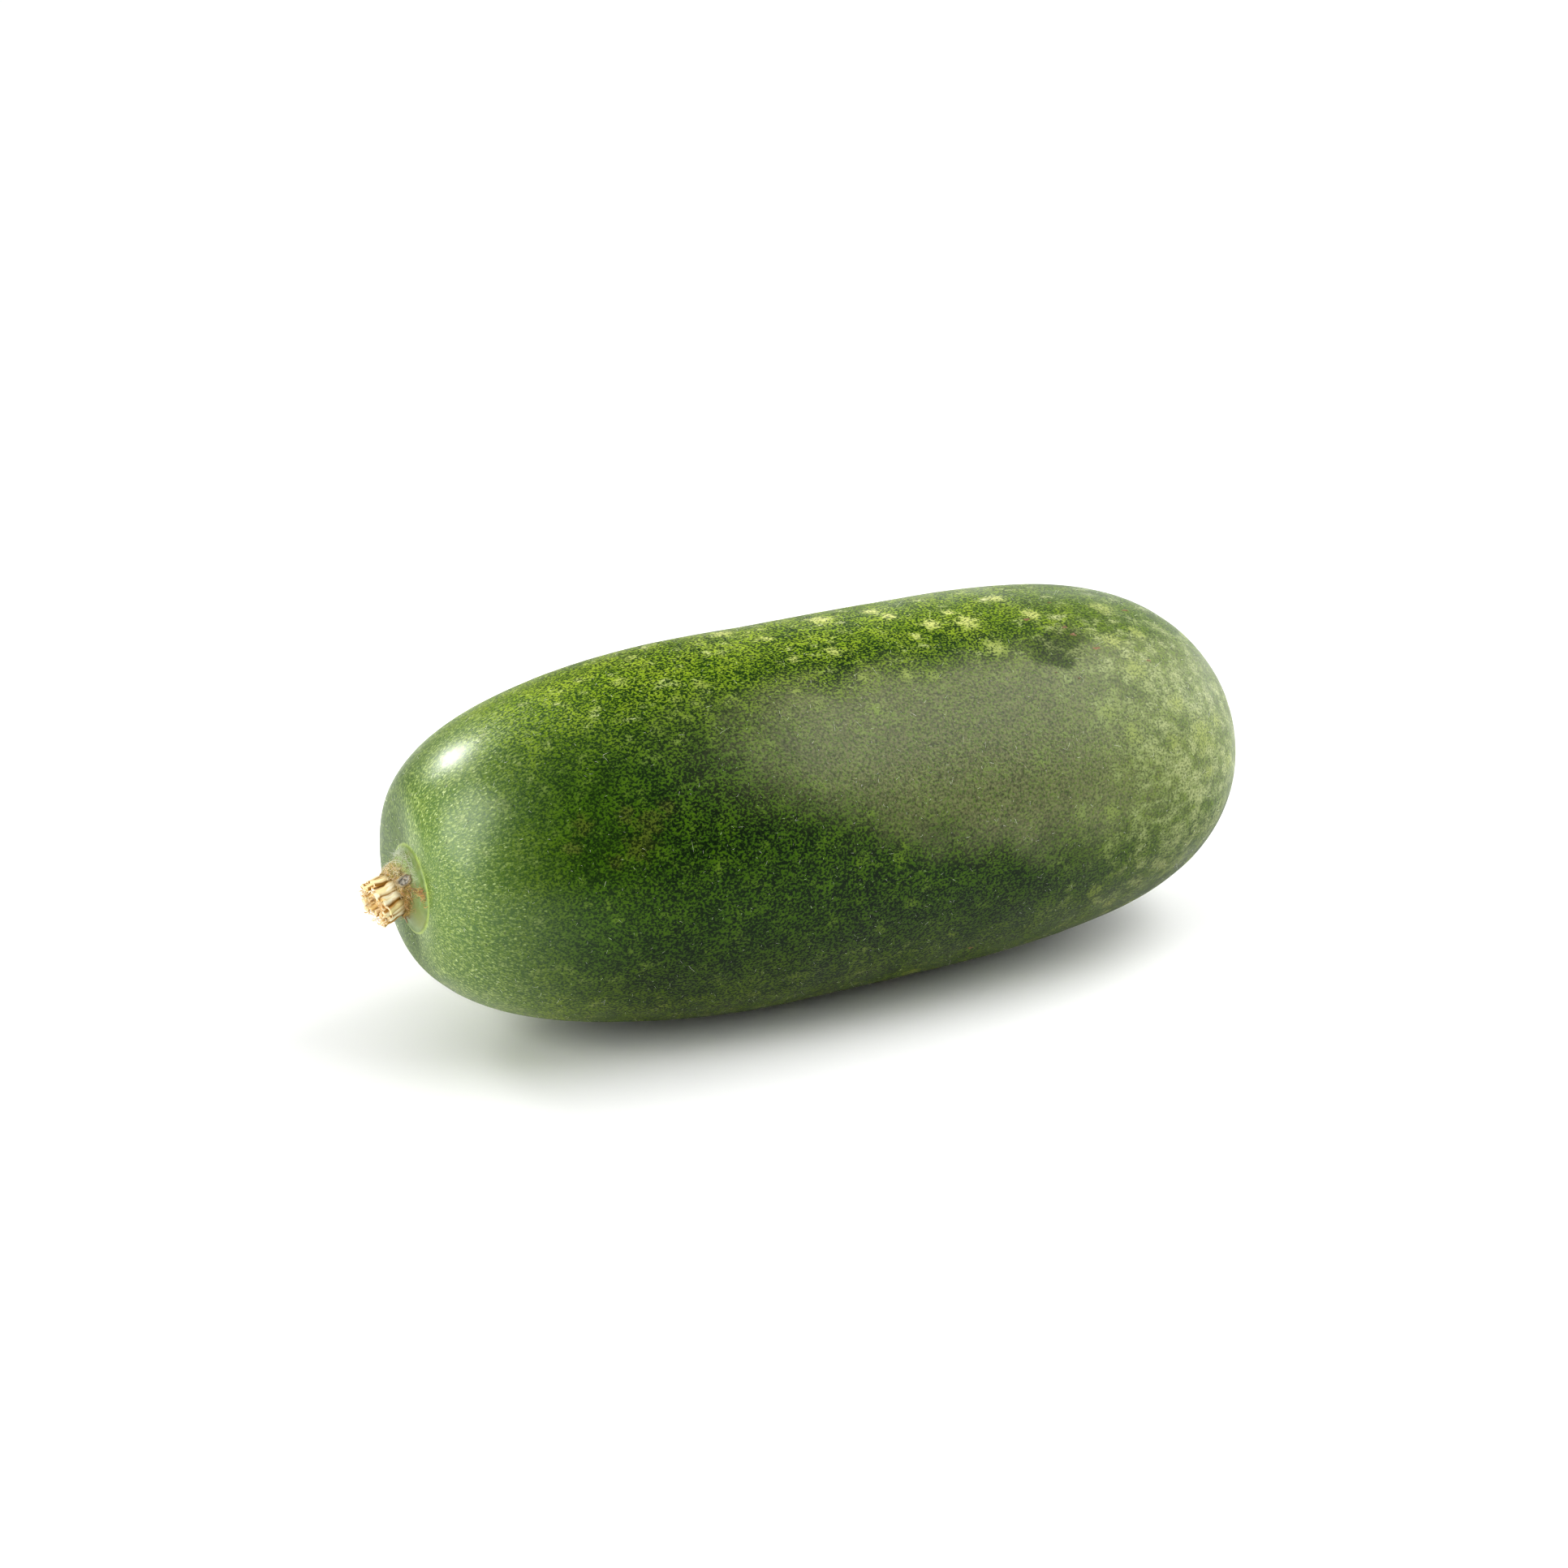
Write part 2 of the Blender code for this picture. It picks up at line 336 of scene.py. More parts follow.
def spaced_out(outline):
    """Points along the outline, close together at the collar and the scar and further apart on the body."""
    outline = np.array(outline)
    run = np.concatenate([[0], np.cumsum(np.hypot(*np.diff(outline, axis=0).T))])
    rim = run[np.argmax((outline[:, 0] > 0) & (outline[:, 1] > COLLAR_RADIUS))]
    stops = [0.0]
    while stops[-1] < run[-1] - 0.1 * MM:
        wide = 1.0
        distances = (stops[-1] - rim, run[-1] - stops[-1])
        for distance, (close_until, widening) in zip(distances, (CLOSE_AT_COLLAR, CLOSE_AT_SCAR)):
            wide *= 1 - smooth_fade((distance - close_until) / widening)
        stops.append(min(stops[-1] + CLOSE_RINGS + (WIDE_RINGS - CLOSE_RINGS) * wide, run[-1]))
    stops = np.array(stops)
    return [np.interp(stops, run, outline[:, 0]), np.interp(stops, run, outline[:, 1]), stops - rim]


alongs, radii, runs = spaced_out(skin_profile())
angles = [2 * math.pi * step / POINTS_ROUND for step in range(POINTS_ROUND)]
body = np.array([on_body(a, r, angle) for a, r in zip(alongs, radii) for angle in angles])
node_low, node_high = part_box("fruit")
rest = Vector((
    node_high[0] - LENGTH,
    (node_low[1] + node_high[1]) / 2 - (body[:, 1].min() + body[:, 1].max()) / 2,
    node_low[2] - FLAT_DEPTH - body[:, 2].min(),
))


def grain_girth(along, radius, run):
    """The girth, in mm, on which the skin's markings are laid out. It narrows slowly towards the collar."""
    if along > WIDEST_AT:
        return radius / MM
    narrowing = GRAIN_NARROWING * math.exp(-max(run, 0.0) / NARROWING_REACH)
    return GRAIN_GIRTH - narrowing * smooth_fade(along / WIDEST_AT)


def skin_points():
    """Every point of the skin and its place in the lay of the markings, which starts with the run in mm."""
    tangents = np.gradient(np.stack([alongs, radii], 1), axis=0)
    tangents /= np.linalg.norm(tangents, axis=1)[:, None]
    points, grain = [], []
    for along, radius, run, (forward, outward) in zip(alongs, radii, runs, tangents):
        lumpy = 1 - smooth_fade(run / LUMPS_START)
        spread = grain_girth(along, radius, run)
        for angle in angles:
            place = on_body(along, radius, angle)
            height = sum(depth * noise.noise(place / size) for depth, size in LUMPS) * lumpy
            point = on_body(along - outward * height, radius + forward * height, angle) + rest
            point.z = max(point.z, node_low[2])
            points.append(point)
            grain.append((run / MM, spread * math.cos(angle), spread * math.sin(angle)))
    return points, grain


def keep(mesh, name, kind, values):
    """Keeps a value for every point of a mesh, for its material to read."""
    layer = mesh.attributes.new(name, kind, "POINT")
    field = "vector" if kind == "FLOAT_VECTOR" else "value"
    layer.data.foreach_set(field, np.array(values, np.float32).ravel())


points, grain = skin_points()
skin = new_piece("skin", points, ring_faces(len(alongs), POINTS_ROUND))
skin_mesh = skin.data
keep(skin_mesh, "grain", "FLOAT_VECTOR", grain)
skin_places = np.array(points)

# Pale spots.
# Where the skin was chafed or a hair fell out early it stayed pale, in ragged stars a few millimetres wide.
# They are few at the stalk end and crowd together towards the blossom. Each is a place along, an angle and a
# radius, in mm and degrees.
FRONT_SPOTS = (
    (105.7, 103, 3.0), (104.4, 95.6, 1.6), (116.0, 91, 2.5), (107.0, 116.6, 3.0), (118.9, 104.4, 2.5),
    (134.9, 103.4, 3.2), (131.3, 120.5, 3.0), (133.1, 132.3, 3.6), (138.1, 117.1, 2.6), (139.9, 145.7, 2.8),
    (127.7, 153.1, 3.2), (144.7, 158.6, 4.6), (123.5, 145.4, 2.4), (137.0, 158.9, 2.6), (150.1, 154.1, 2.6),
    (98.9, 100.5, 2.4), (77.6, 105.2, 2.2), (69.4, 105.6, 1.6), (91.8, 84.2, 2.2), (82.1, 83.5, 3.2),
    (93.7, 91.0, 2.0), (87.4, 120.4, 2.0), (92.4, 122.3, 1.6), (94.4, 105.1, 1.6), (65.7, 119.2, 1.5),
    (68.5, 125.3, 1.8), (78.5, 129.9, 2.2), (79.1, 118.2, 1.5), (68.7, 90.9, 1.8), (63.8, 79.5, 2.6),
    (44.8, 112.7, 1.6), (50.6, 109.0, 1.8), (45.1, 120.7, 1.5), (47.4, 130.6, 1.6), (44.7, 83.3, 2.4),
)
SEEN_ANGLES = (78, 166)
SEEN_ALONG = (40, 150)
SPOT_COUNT = 130
SPOTS_FROM = 35
SPOTS_TO = 164
RAYS = 5
RAY_REACH = 0.14


def all_spots():
    """The spots of the front, and others drawn for the rest, closer together towards the blossom."""
    draw = random.Random(5)
    spots = list(FRONT_SPOTS)
    while len(spots) < SPOT_COUNT:
        along = SPOTS_TO * draw.random() ** 0.6
        angle = 360 * draw.random()
        radius = draw.uniform(1.2, 2.6) + 1.6 * (along / SPOTS_TO) ** 3 * draw.random()
        in_front = SEEN_ANGLES[0] < angle < SEEN_ANGLES[1] and SEEN_ALONG[0] < along < SEEN_ALONG[1]
        if along > SPOTS_FROM and not in_front:
            spots.append((along, angle, radius))
    return spots


def patch_depth(patches):
    """How deep each point lies in its nearest patch: 1 in the middle, 0 at the edge and less outside."""
    depth = np.full(len(skin_places), -1.0)
    draw = random.Random(8)
    for along, angle, radius in patches:
        along, angle = along * MM, math.radians(angle)
        away = skin_places - np.array(on_body(along, girth(along), angle) + rest)
        around = away[:, 2] * math.cos(angle) - away[:, 1] * math.sin(angle)
        distance = np.linalg.norm(away, axis=1)
        rays = 1 + RAY_REACH * np.cos(RAYS * np.arctan2(around, away[:, 0]) + draw.uniform(0, 6))
        depth = np.maximum(depth, 1 - distance / (radius * MM * rays))
    return depth


keep(skin_mesh, "spots", "FLOAT", patch_depth(all_spots()))

# Scuffs.
# In a few places the skin was rubbed in the field, and dried to thin greyish brown flecks. Each is a place
# along, an angle and a radius, as the spots are.
SCUFFS = (
    (32.7, 150.8, 3.4), (30.5, 157.6, 3.6), (29.2, 146.8, 2.6), (36.0, 147.0, 2.4), (21.9, 147.5, 2.6),
    (19.7, 154.1, 2.2), (26.2, 161.3, 2.0), (88.0, 250.0, 5.0), (60.0, 30.0, 4.0), (118.0, 330.0, 5.0),
)
keep(skin_mesh, "scuffs", "FLOAT", patch_depth(SCUFFS))

# The finish of the skin.
# Green with a fine pale mottle, in bright flecks near the stalk and pale blotches at the blossom end, and
# deeper on the near side, partly its own deeper green and partly painted shade. Painted shadow darkens the
# far side of the stalk end and painted shade the underside. A thin gloss lies over it, and a dusty film of
# wax on the upper front, grey partly from the wax and partly from a painted sheen, rubbed off in one place
# and painted darker there as shade. Small dark pits each held a hair.
DARK_GREEN, DULL_GREEN = paint(16, 46, 0), paint(30, 62, 0)
STALK_END_GREEN, BLOSSOM_END_GREEN = paint(82, 112, 52), paint(90, 106, 54)
PALE_GROUND, SCUFFED_GROUND = paint(120, 138, 70), paint(92, 84, 56)
MOTTLE_GREEN, MOTTLE_YELLOW = paint(134, 162, 22), paint(156, 178, 46)
BLOTCH_CREAM, SPOT_CREAM, SCUFF_BROWN = paint(232, 228, 186), paint(214, 216, 136), paint(192, 172, 146)
DASH_GREEN, FLECK_GREEN = paint(180, 198, 118), paint(212, 224, 158)
# The near colour is partly the skin's own deeper green and partly painted shade. The far one is a painted
# shadow and the low one painted shade.
NEAR_GREEN_AND_SHADE, FAR_PAINTED_SHADOW, LOW_PAINTED_SHADE = paint(114, 144, 62), paint(150, 166, 112), paint(180, 186, 130)
# The film grey is partly the wax's own colour and partly a painted sheen. The rubbed colour is painted shade.
FILM_AND_SHEEN_GREY, RUBBED_PAINTED_SHADE = paint(134, 136, 90), paint(176, 178, 160)
PIT_GREEN = paint(26, 44, 8)
COLLAR_GREEN, COLLAR_PALE = paint(98, 120, 60), paint(124, 144, 86)
COLLAR_OLIVE, SOCKET_OLIVE, RIM_GREEN = paint(112, 124, 54), paint(124, 128, 68), paint(168, 188, 92)
SCAR_TAN, SCAR_BROWN = paint(168, 148, 104), paint(104, 78, 44)
# Angles round the body, from the far side over the top, and runs along the skin from the collar, in mm.
FILM_TURN = math.radians(120)
NEAR_TURN = math.radians(165)
LOW_TURN = math.radians(240)
STALK_END = (8.0, 52.0)
BLOSSOM_END = (104.0, 162.0)
BLOSSOM_END_SHADE = 0.72
RUBBED_PLACE = (131.0, 0.0)
RUBBED_SIZE = (7.0, 6.0)
SCAR_RUN = runs[-1] / MM - 3.1
SECOND_LAY = (31.0, 17.0, 5.0)


def math_node(tree, operation, *values):
    return add_node(tree, "ShaderNodeMath", dict(enumerate(values)), operation=operation).outputs[0]


def times(tree, first, *others):
    """All the values multiplied together."""
    for other in others:
        first = math_node(tree, "MULTIPLY", first, other)
    return first


def ramp(tree, value, low, high, start=0.0, end=1.0):
    """A smooth rise from start to end, as value goes from low to high."""
    inputs = {"Value": value, "From Min": low, "From Max": high, "To Min": start, "To Max": end}
    return add_node(tree, "ShaderNodeMapRange", inputs, interpolation_type="SMOOTHSTEP").outputs["Result"]


def new_group(name, place, inputs, outputs):
    """An empty node group, what is given to it, and what it puts out. Place names its first input."""
    group = bpy.data.node_groups.new(name, "ShaderNodeTree")
    group.interface.new_socket(name=place, in_out="INPUT", socket_type="NodeSocketVector")
    for names, direction in ((inputs, "INPUT"), (outputs, "OUTPUT")):
        for socket in names:
            group.interface.new_socket(name=socket, in_out=direction, socket_type="NodeSocketFloat")
    return group, group.nodes.new("NodeGroupInput").outputs, group.nodes.new("NodeGroupOutput").inputs


def place_group(tree, group, **inputs):
    """Puts a node group in a material, with its own values."""
    return add_node(tree, "ShaderNodeGroup", inputs, node_tree=group).outputs


def drawn_out(tree, lay, stretch):
    """The lay of the markings, drawn out along the fruit."""
    parts = add_node(tree, "ShaderNodeSeparateXYZ", {0: lay}).outputs
    ahead = math_node(tree, "DIVIDE", parts[0], stretch)
    return add_node(tree, "ShaderNodeCombineXYZ", {0: ahead, 1: parts[1], 2: parts[2]}).outputs[0]


def make_mottle_group():
    """A fine uneven mottle, longer along the fruit than across. Level is the share that it covers."""
    group, given, result = new_group("mottle", "Grain", ("Size", "Stretch", "Level", "Softness"), ("Mottle",))
    place = drawn_out(group, given["Grain"], given["Stretch"])
    fineness = math_node(group, "DIVIDE", 1.0, given["Size"])
    inputs = {"Vector": place, "Scale": fineness, "Detail": 3.5, "Roughness": 0.62}
    value = add_node(group, "ShaderNodeTexNoise", inputs).outputs[0]
    middle = math_node(group, "MULTIPLY_ADD", given["Level"], -0.42, 0.71)
    low = math_node(group, "SUBTRACT", middle, given["Softness"])
    high = math_node(group, "ADD", middle, given["Softness"])
    group.links.new(ramp(group, value, low, high), result["Mottle"])
    return group


def make_fleck_group():
    """Separate flecks of unlike sizes. Size is a fleck's largest radius, as a share of the spacing."""
    group, given, result = new_group("flecks", "Grain", ("Spacing", "Stretch", "Size"), ("Flecks", "Chance"))
    place = drawn_out(group, given["Grain"], given["Stretch"])
    fineness = math_node(group, "DIVIDE", 1.0, given["Spacing"])
    cells = add_node(group, "ShaderNodeTexVoronoi", {"Vector": place, "Scale": fineness}).outputs
    chance = add_node(group, "ShaderNodeSeparateColor", {0: cells["Color"]}).outputs[0]
    edge = times(group, math_node(group, "MULTIPLY_ADD", chance, 0.75, 0.25), given["Size"])
    core = times(group, edge, 0.5)
    group.links.new(ramp(group, cells["Distance"], core, edge, 1.0, 0.0), result["Flecks"])
    group.links.new(chance, result["Chance"])
    return group


mottle_group = make_mottle_group()
fleck_group = make_fleck_group()


def lay_mottle(tree, lay, size, stretch, level, softness):
    """Puts the mottle in a material, with its own sizes."""
    inputs = {"Grain": lay, "Size": size, "Stretch": stretch, "Level": level, "Softness": softness}
    return place_group(tree, mottle_group, **inputs)["Mottle"]


def read_value(tree, name):
    """The value that a mesh keeps under a name."""
    return add_node(tree, "ShaderNodeAttribute", {}, attribute_name=name).outputs["Fac"]


def read_place(tree, name):
    """The place that a mesh keeps under a name."""
    return add_node(tree, "ShaderNodeAttribute", {}, attribute_name=name).outputs["Vector"]


def body_way(angle):
    """The direction away from the long axis of the body."""
    return Vector((0.0, math.cos(angle), math.sin(angle)))


def reach_towards(tree, place, way):
    """How far a place lies in a direction."""
    inputs = {0: place, 1: way}
    return add_node(tree, "ShaderNodeVectorMath", inputs, operation="DOT_PRODUCT").outputs["Value"]


def bump_surface(tree, shader, height, depth):
    """Raises the surface by height, whose full step is depth."""
    bump = add_node(tree, "ShaderNodeBump", {"Height": height, "Strength": 1.0, "Distance": depth})
    tree.links.new(bump.outputs["Normal"], shader.inputs["Normal"])
    tree.links.new(bump.outputs["Normal"], shader.inputs["Coat Normal"])


green_skin, tree, shader = new_material("green skin", Specular_IOR_Level=0.16, Coat_Roughness=0.26)
place = place_in_mm(tree)
lay = read_place(tree, "grain")
second_lay = add_node(tree, "ShaderNodeVectorMath", {0: lay, 1: SECOND_LAY}).outputs[0]
run = add_node(tree, "ShaderNodeSeparateXYZ", {0: lay}).outputs[0]
across_film, down_film = [reach_towards(tree, lay, body_way(FILM_TURN + turn)) for turn in (0.0, math.pi / 2)]
turn = math_node(tree, "ARCTAN2", down_film, across_film)
nearness = math_node(tree, "COSINE", math_node(tree, "SUBTRACT", turn, NEAR_TURN - FILM_TURN))
lowness = math_node(tree, "COSINE", math_node(tree, "SUBTRACT", turn, LOW_TURN - FILM_TURN))
near_reach = reach_towards(tree, lay, body_way(NEAR_TURN))
stalk_end = ramp(tree, run, *STALK_END, 1.0, 0.0)
blossom_end = ramp(tree, run, *BLOSSOM_END)
wide_patches = cloud(tree, place, 24.0, detail=3.0)
small_patches = cloud(tree, second_lay, 4.5, detail=2.5, roughness=0.6)

# The ground colour, and the spots, blotches and scuffs that show in it.
ground = mix_colours(tree, ramp(tree, wide_patches, 0.35, 0.7), DARK_GREEN, DULL_GREEN)
ground = mix_colours(tree, times(tree, stalk_end, 0.95), ground, STALK_END_GREEN)
blossom_share = times(tree, blossom_end, ramp(tree, near_reach, 0.0, GRAIN_GIRTH, 0.35, 0.85))
ground = mix_colours(tree, blossom_share, ground, BLOSSOM_END_GREEN)
spot_rags = cloud(tree, lay, 0.9, detail=3.0, roughness=0.7)
spot_edge = math_node(tree, "MULTIPLY_ADD", spot_rags, 1.7, read_value(tree, "spots"))
spots = times(tree, ramp(tree, spot_edge, 0.8, 1.7), ramp(tree, run, 40.0, 110.0, 0.35, 1.0))
blotch_spread = ramp(tree, near_reach, 0.0, GRAIN_GIRTH, 0.25, 1.0)
blotch_level = times(tree, ramp(tree, blossom_end, 0.0, 1.0, 0.05, 0.56), blotch_spread)
blotches = lay_mottle(tree, second_lay, 3.0, 1.2, blotch_level, 0.15)
paleness = math_node(tree, "MAXIMUM", spots, blotches)
scuff_rags = cloud(tree, second_lay, 1.2, detail=4.0, roughness=0.75)
scuff_edge = math_node(tree, "MULTIPLY_ADD", scuff_rags, 2.4, read_value(tree, "scuffs"))
scuffs = ramp(tree, scuff_edge, 1.3, 1.9)
ground = mix_colours(tree, times(tree, paleness, 0.4), ground, PALE_GROUND)
ground = mix_colours(tree, times(tree, scuffs, 0.5), ground, SCUFFED_GROUND)

# The mottle, and the dashes and flecks that take its place near the stalk.
level = math_node(tree, "MULTIPLY_ADD", paleness, 0.17, ramp(tree, small_patches, 0.3, 0.7, 0.41, 0.50))
mottle = lay_mottle(tree, lay, 0.40, 1.2, level, ramp(tree, blossom_end, 0.0, 1.0, 0.07, 0.17))
mottle_colour = mix_colours(tree, ramp(tree, small_patches, 0.4, 0.65), MOTTLE_GREEN, MOTTLE_YELLOW)
mottle_colour = mix_colours(tree, blotches, mottle_colour, BLOTCH_CREAM)
mottle_colour = mix_colours(tree, spots, mottle_colour, SPOT_CREAM)
mottle_colour = mix_colours(tree, times(tree, scuffs, 0.8), mottle_colour, SCUFF_BROWN)
mottle_share = times(tree, mottle, ramp(tree, stalk_end, 0.35, 1.0, 1.0, 0.25))
colour = mix_colours(tree, mottle_share, ground, mottle_colour)
dash_share = times(tree, stalk_end, ramp(tree, nearness, 0.1, 1.0, 1.0, 0.6))
for where, size, stretch, covered in ((lay, 0.40, 2.1, 0.30), (second_lay, 0.52, 1.7, 0.22)):
    dashes = lay_mottle(tree, where, size, stretch, covered, 0.075)
    colour = mix_colours(tree, times(tree, dashes, dash_share), colour, DASH_GREEN)
flecks = place_group(tree, fleck_group, Grain=second_lay, Spacing=0.8, Stretch=2.0, Size=0.27)
fleck_share = times(tree, flecks["Flecks"], ramp(tree, flecks["Chance"], 0.1, 0.9, 0.1, 0.8), stalk_end)
colour = mix_colours(tree, fleck_share, colour, FLECK_GREEN)

# The near side and the whole blossom end are a deeper green, partly their own and partly painted shade.
# Painted shadow darkens the far side of the stalk end, and painted shade the underside.
near_green_and_shade_share = times(tree, ramp(tree, nearness, 0.2, 0.95), ramp(tree, run, 4.0, 34.0))
near_green_and_shade_share = times(tree, near_green_and_shade_share, ramp(tree, blossom_end, 0.0, 1.0, 1.0, BLOSSOM_END_SHADE))
near_green_and_shade_share = math_node(tree, "MAXIMUM", near_green_and_shade_share, times(tree, blossom_end, BLOSSOM_END_SHADE))
# Painted shadow: the far side of the stalk end is darkened, as if something beside it kept the light off.
far_painted_shadow_share = times(tree, ramp(tree, nearness, -0.2, 0.5, 0.85, 0.0), ramp(tree, run, 2.0, 26.0, 1.0, 0.0))
# Painted shade: the underside is darkened, less so at the stalk end.
low_painted_shade_share = times(tree, ramp(tree, lowness, 0.45, 1.0), ramp(tree, stalk_end, 0.0, 1.0, 1.0, 0.2))
for share, shade in ((near_green_and_shade_share, NEAR_GREEN_AND_SHADE), (far_painted_shadow_share, FAR_PAINTED_SHADOW), (low_painted_shade_share, LOW_PAINTED_SHADE)):
    colour = mix_colours(tree, share, colour, shade, blend="MULTIPLY")

# The dusty film, from its upper edge to its lower one, and the place where it was rubbed off. The film's grey
# is partly the wax and partly a painted sheen, and the rubbed place is painted darker as shade.
wander = math_node(tree, "MULTIPLY_ADD", cloud(tree, place, 9.0, detail=4.0, roughness=0.6), 24.0, -12.0)
film_turn = math_node(tree, "ADD", times(tree, turn, math.degrees(1)), wander)
below_top = math_node(tree, "SUBTRACT", film_turn, ramp(tree, run, 45.0, 95.0, -6.0, 0.5))
below_foot = math_node(tree, "SUBTRACT", film_turn, ramp(tree, run, 36.0, 130.0, 23.0, 66.0))
film = times(tree, ramp(tree, below_top, -10.0, 7.0), ramp(tree, below_foot, -14.0, 10.0, 1.0, 0.0))
film = times(tree, film, ramp(tree, math_node(tree, "ADD", run, wander), 46.0, 82.0))
film = times(tree, film, ramp(tree, math_node(tree, "SUBTRACT", run, wander), 128.0, 154.0, 1.0, 0.5))
squares = []
for value, middle, size in zip((run, film_turn), RUBBED_PLACE, RUBBED_SIZE):
    sizes_off = math_node(tree, "MULTIPLY_ADD", value, 1 / size, -middle / size)
    squares.append(math_node(tree, "POWER", sizes_off, 2.0))
film_left = ramp(tree, math_node(tree, "ADD", *squares), 0.3, 1.6, 0.2, 1.0)
film = times(tree, film, film_left)
# Painted shade: the skin is darkened further where the film was rubbed off.
rubbed_painted_shade_share = ramp(tree, film_left, 0.2, 1.0, 0.65, 0.0)
colour = mix_colours(tree, rubbed_painted_shade_share, colour, RUBBED_PAINTED_SHADE, blend="MULTIPLY")
# The film's grey is partly the wax's own colour and partly a painted sheen of the window on the right.
film_dust = ramp(tree, cloud(tree, lay, 0.5, detail=2.5), 0.3, 0.7, 0.18, 0.56)
film_and_sheen_share = times(tree, film, film_dust, ramp(tree, paleness, 0.0, 1.0, 1.0, 0.5))
colour = mix_colours(tree, film_and_sheen_share, colour, FILM_AND_SHEEN_GREY)

# The pits, the collar with the line round its foot, and the scar.
pits = place_group(tree, fleck_group, Grain=lay, Spacing=2.6, Stretch=1.0, Size=0.13)["Flecks"]
colour = mix_colours(tree, times(tree, pits, 0.6), colour, PIT_GREEN)
collar_shade = ramp(tree, cloud(tree, place, 1.6, detail=4.0, roughness=0.7), 0.35, 0.65)
collar_colour = mix_colours(tree, collar_shade, COLLAR_GREEN, COLLAR_PALE)
olive = times(tree, ramp(tree, nearness, -0.3, 0.5), ramp(tree, cloud(tree, place, 4.0), 0.35, 0.6))
collar_colour = mix_colours(tree, olive, collar_colour, COLLAR_OLIVE)
socket = ramp(tree, run, -2.9, -2.0, 1.0, 0.0)
collar_colour = mix_colours(tree, times(tree, socket, 0.7), collar_colour, SOCKET_OLIVE)
colour = mix_colours(tree, ramp(tree, run, -0.35, 0.0, 1.0, 0.0), colour, collar_colour)
rim_line = times(tree, ramp(tree, run, -0.5, -0.1), ramp(tree, run, 0.0, 0.3, 1.0, 0.0))
rim_share = times(tree, rim_line, ramp(tree, cloud(tree, place, 3.0), 0.3, 0.65, 0.3, 0.75))
colour = mix_colours(tree, rim_share, colour, RIM_GREEN)
scar_shade = ramp(tree, cloud(tree, place, 0.8, detail=4.0, roughness=0.7), 0.4, 0.6)
scar_colour = mix_colours(tree, scar_shade, SCAR_TAN, SCAR_BROWN)
colour = mix_colours(tree, ramp(tree, run, SCAR_RUN - 0.5, SCAR_RUN + 0.2), colour, scar_colour)
tree.links.new(colour, shader.inputs["Base Color"])

# The gloss, and the fine relief of the pits and the mottle.
stalk_wax = times(tree, ramp(tree, stalk_end, 0.0, 1.0, 0.05, 0.6), ramp(tree, nearness, -0.3, 0.5, 0.2, 1.0))
wax = math_node(tree, "MAXIMUM", stalk_wax, times(tree, film, 0.4))
tree.links.new(wax, shader.inputs["Coat Weight"])
dullness = ramp(tree, cloud(tree, place, 9.0, detail=3.0), 0.3, 0.7, 0.36, 0.48)
tree.links.new(dullness, shader.inputs["Roughness"])
relief = math_node(tree, "MULTIPLY_ADD", cloud(tree, lay, 0.5), 0.6, times(tree, pits, -0.5))
relief = math_node(tree, "MULTIPLY_ADD", mottle, ramp(tree, stalk_end, 0.0, 0.6, 0.4, 0.0), relief)
bump_surface(tree, shader, relief, 0.05 * MM)

skin_mesh.materials.append(green_skin)
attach(skin, "root")
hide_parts("fruit")

# The stalk.
# A short stub of the stalk was left on by the shears. It is a ring of broad woody strands that dried apart a
# little, with finer ones inside it. Every strand is cut off blunt, at a length of its own. Each row has a
# count, a radius, a strand's width and depth, and its shortest and longest share of the stub.
STUB_AXIS = Vector((-0.954, -0.145, -0.263)).normalized()
STUB_LENGTH = 7.6 * MM
STUB_PLACE = (-2.6 * MM, 0.4 * MM)
FOOT_DEPTH = 0.5 * MM
FOOT_SPREAD = 0.93
STRAND_ROWS = (
    (21, 3.40 * MM, 1.34 * MM, 0.94 * MM, 0.82, 1.00),
    (26, 2.72 * MM, 0.74 * MM, 0.50 * MM, 0.82, 0.96),
    (20, 2.12 * MM, 0.46 * MM, 0.42 * MM, 0.74, 0.86),
)
STRAND_RINGS = 26
STRAND_SIDES = 22
STRAND_CREAM, STRAND_STRAW = paint(255, 250, 222), paint(252, 234, 176)
# The edge brown is painted shade in the gaps between the strands.
STREAK_GOLD, GAP_PAINTED_SHADE = paint(222, 176, 86), paint(176, 128, 52)
INNER_TAN, FOOT_OLIVE = paint(226, 180, 98), paint(172, 146, 72)
DRAWN_OUT = (1.0, 1.0, 0.12)


def at_stalk_end(place):
    """A point of the stalk end, which stands beside the middle of the body by place."""
    sideways, up = centre_line(0.0)
    return rest + Vector((0.0, sideways + place[0], up + place[1]))


stub_foot = at_stalk_end(STUB_PLACE)
stub_up = (Vector((0, 0, 1)) - STUB_AXIS * STUB_AXIS.z).normalized()
stub_far = STUB_AXIS.cross(stub_up)


def stub_out(angle):
    """The direction away from the stub's axis. The angle runs as it does round the body."""
    return stub_far * math.cos(angle) + stub_up * math.sin(angle)


def blunted(value, power):
    """A sine or cosine that rises faster, so that a round turns into a square with soft corners."""
    return math.copysign(abs(value) ** power, value)


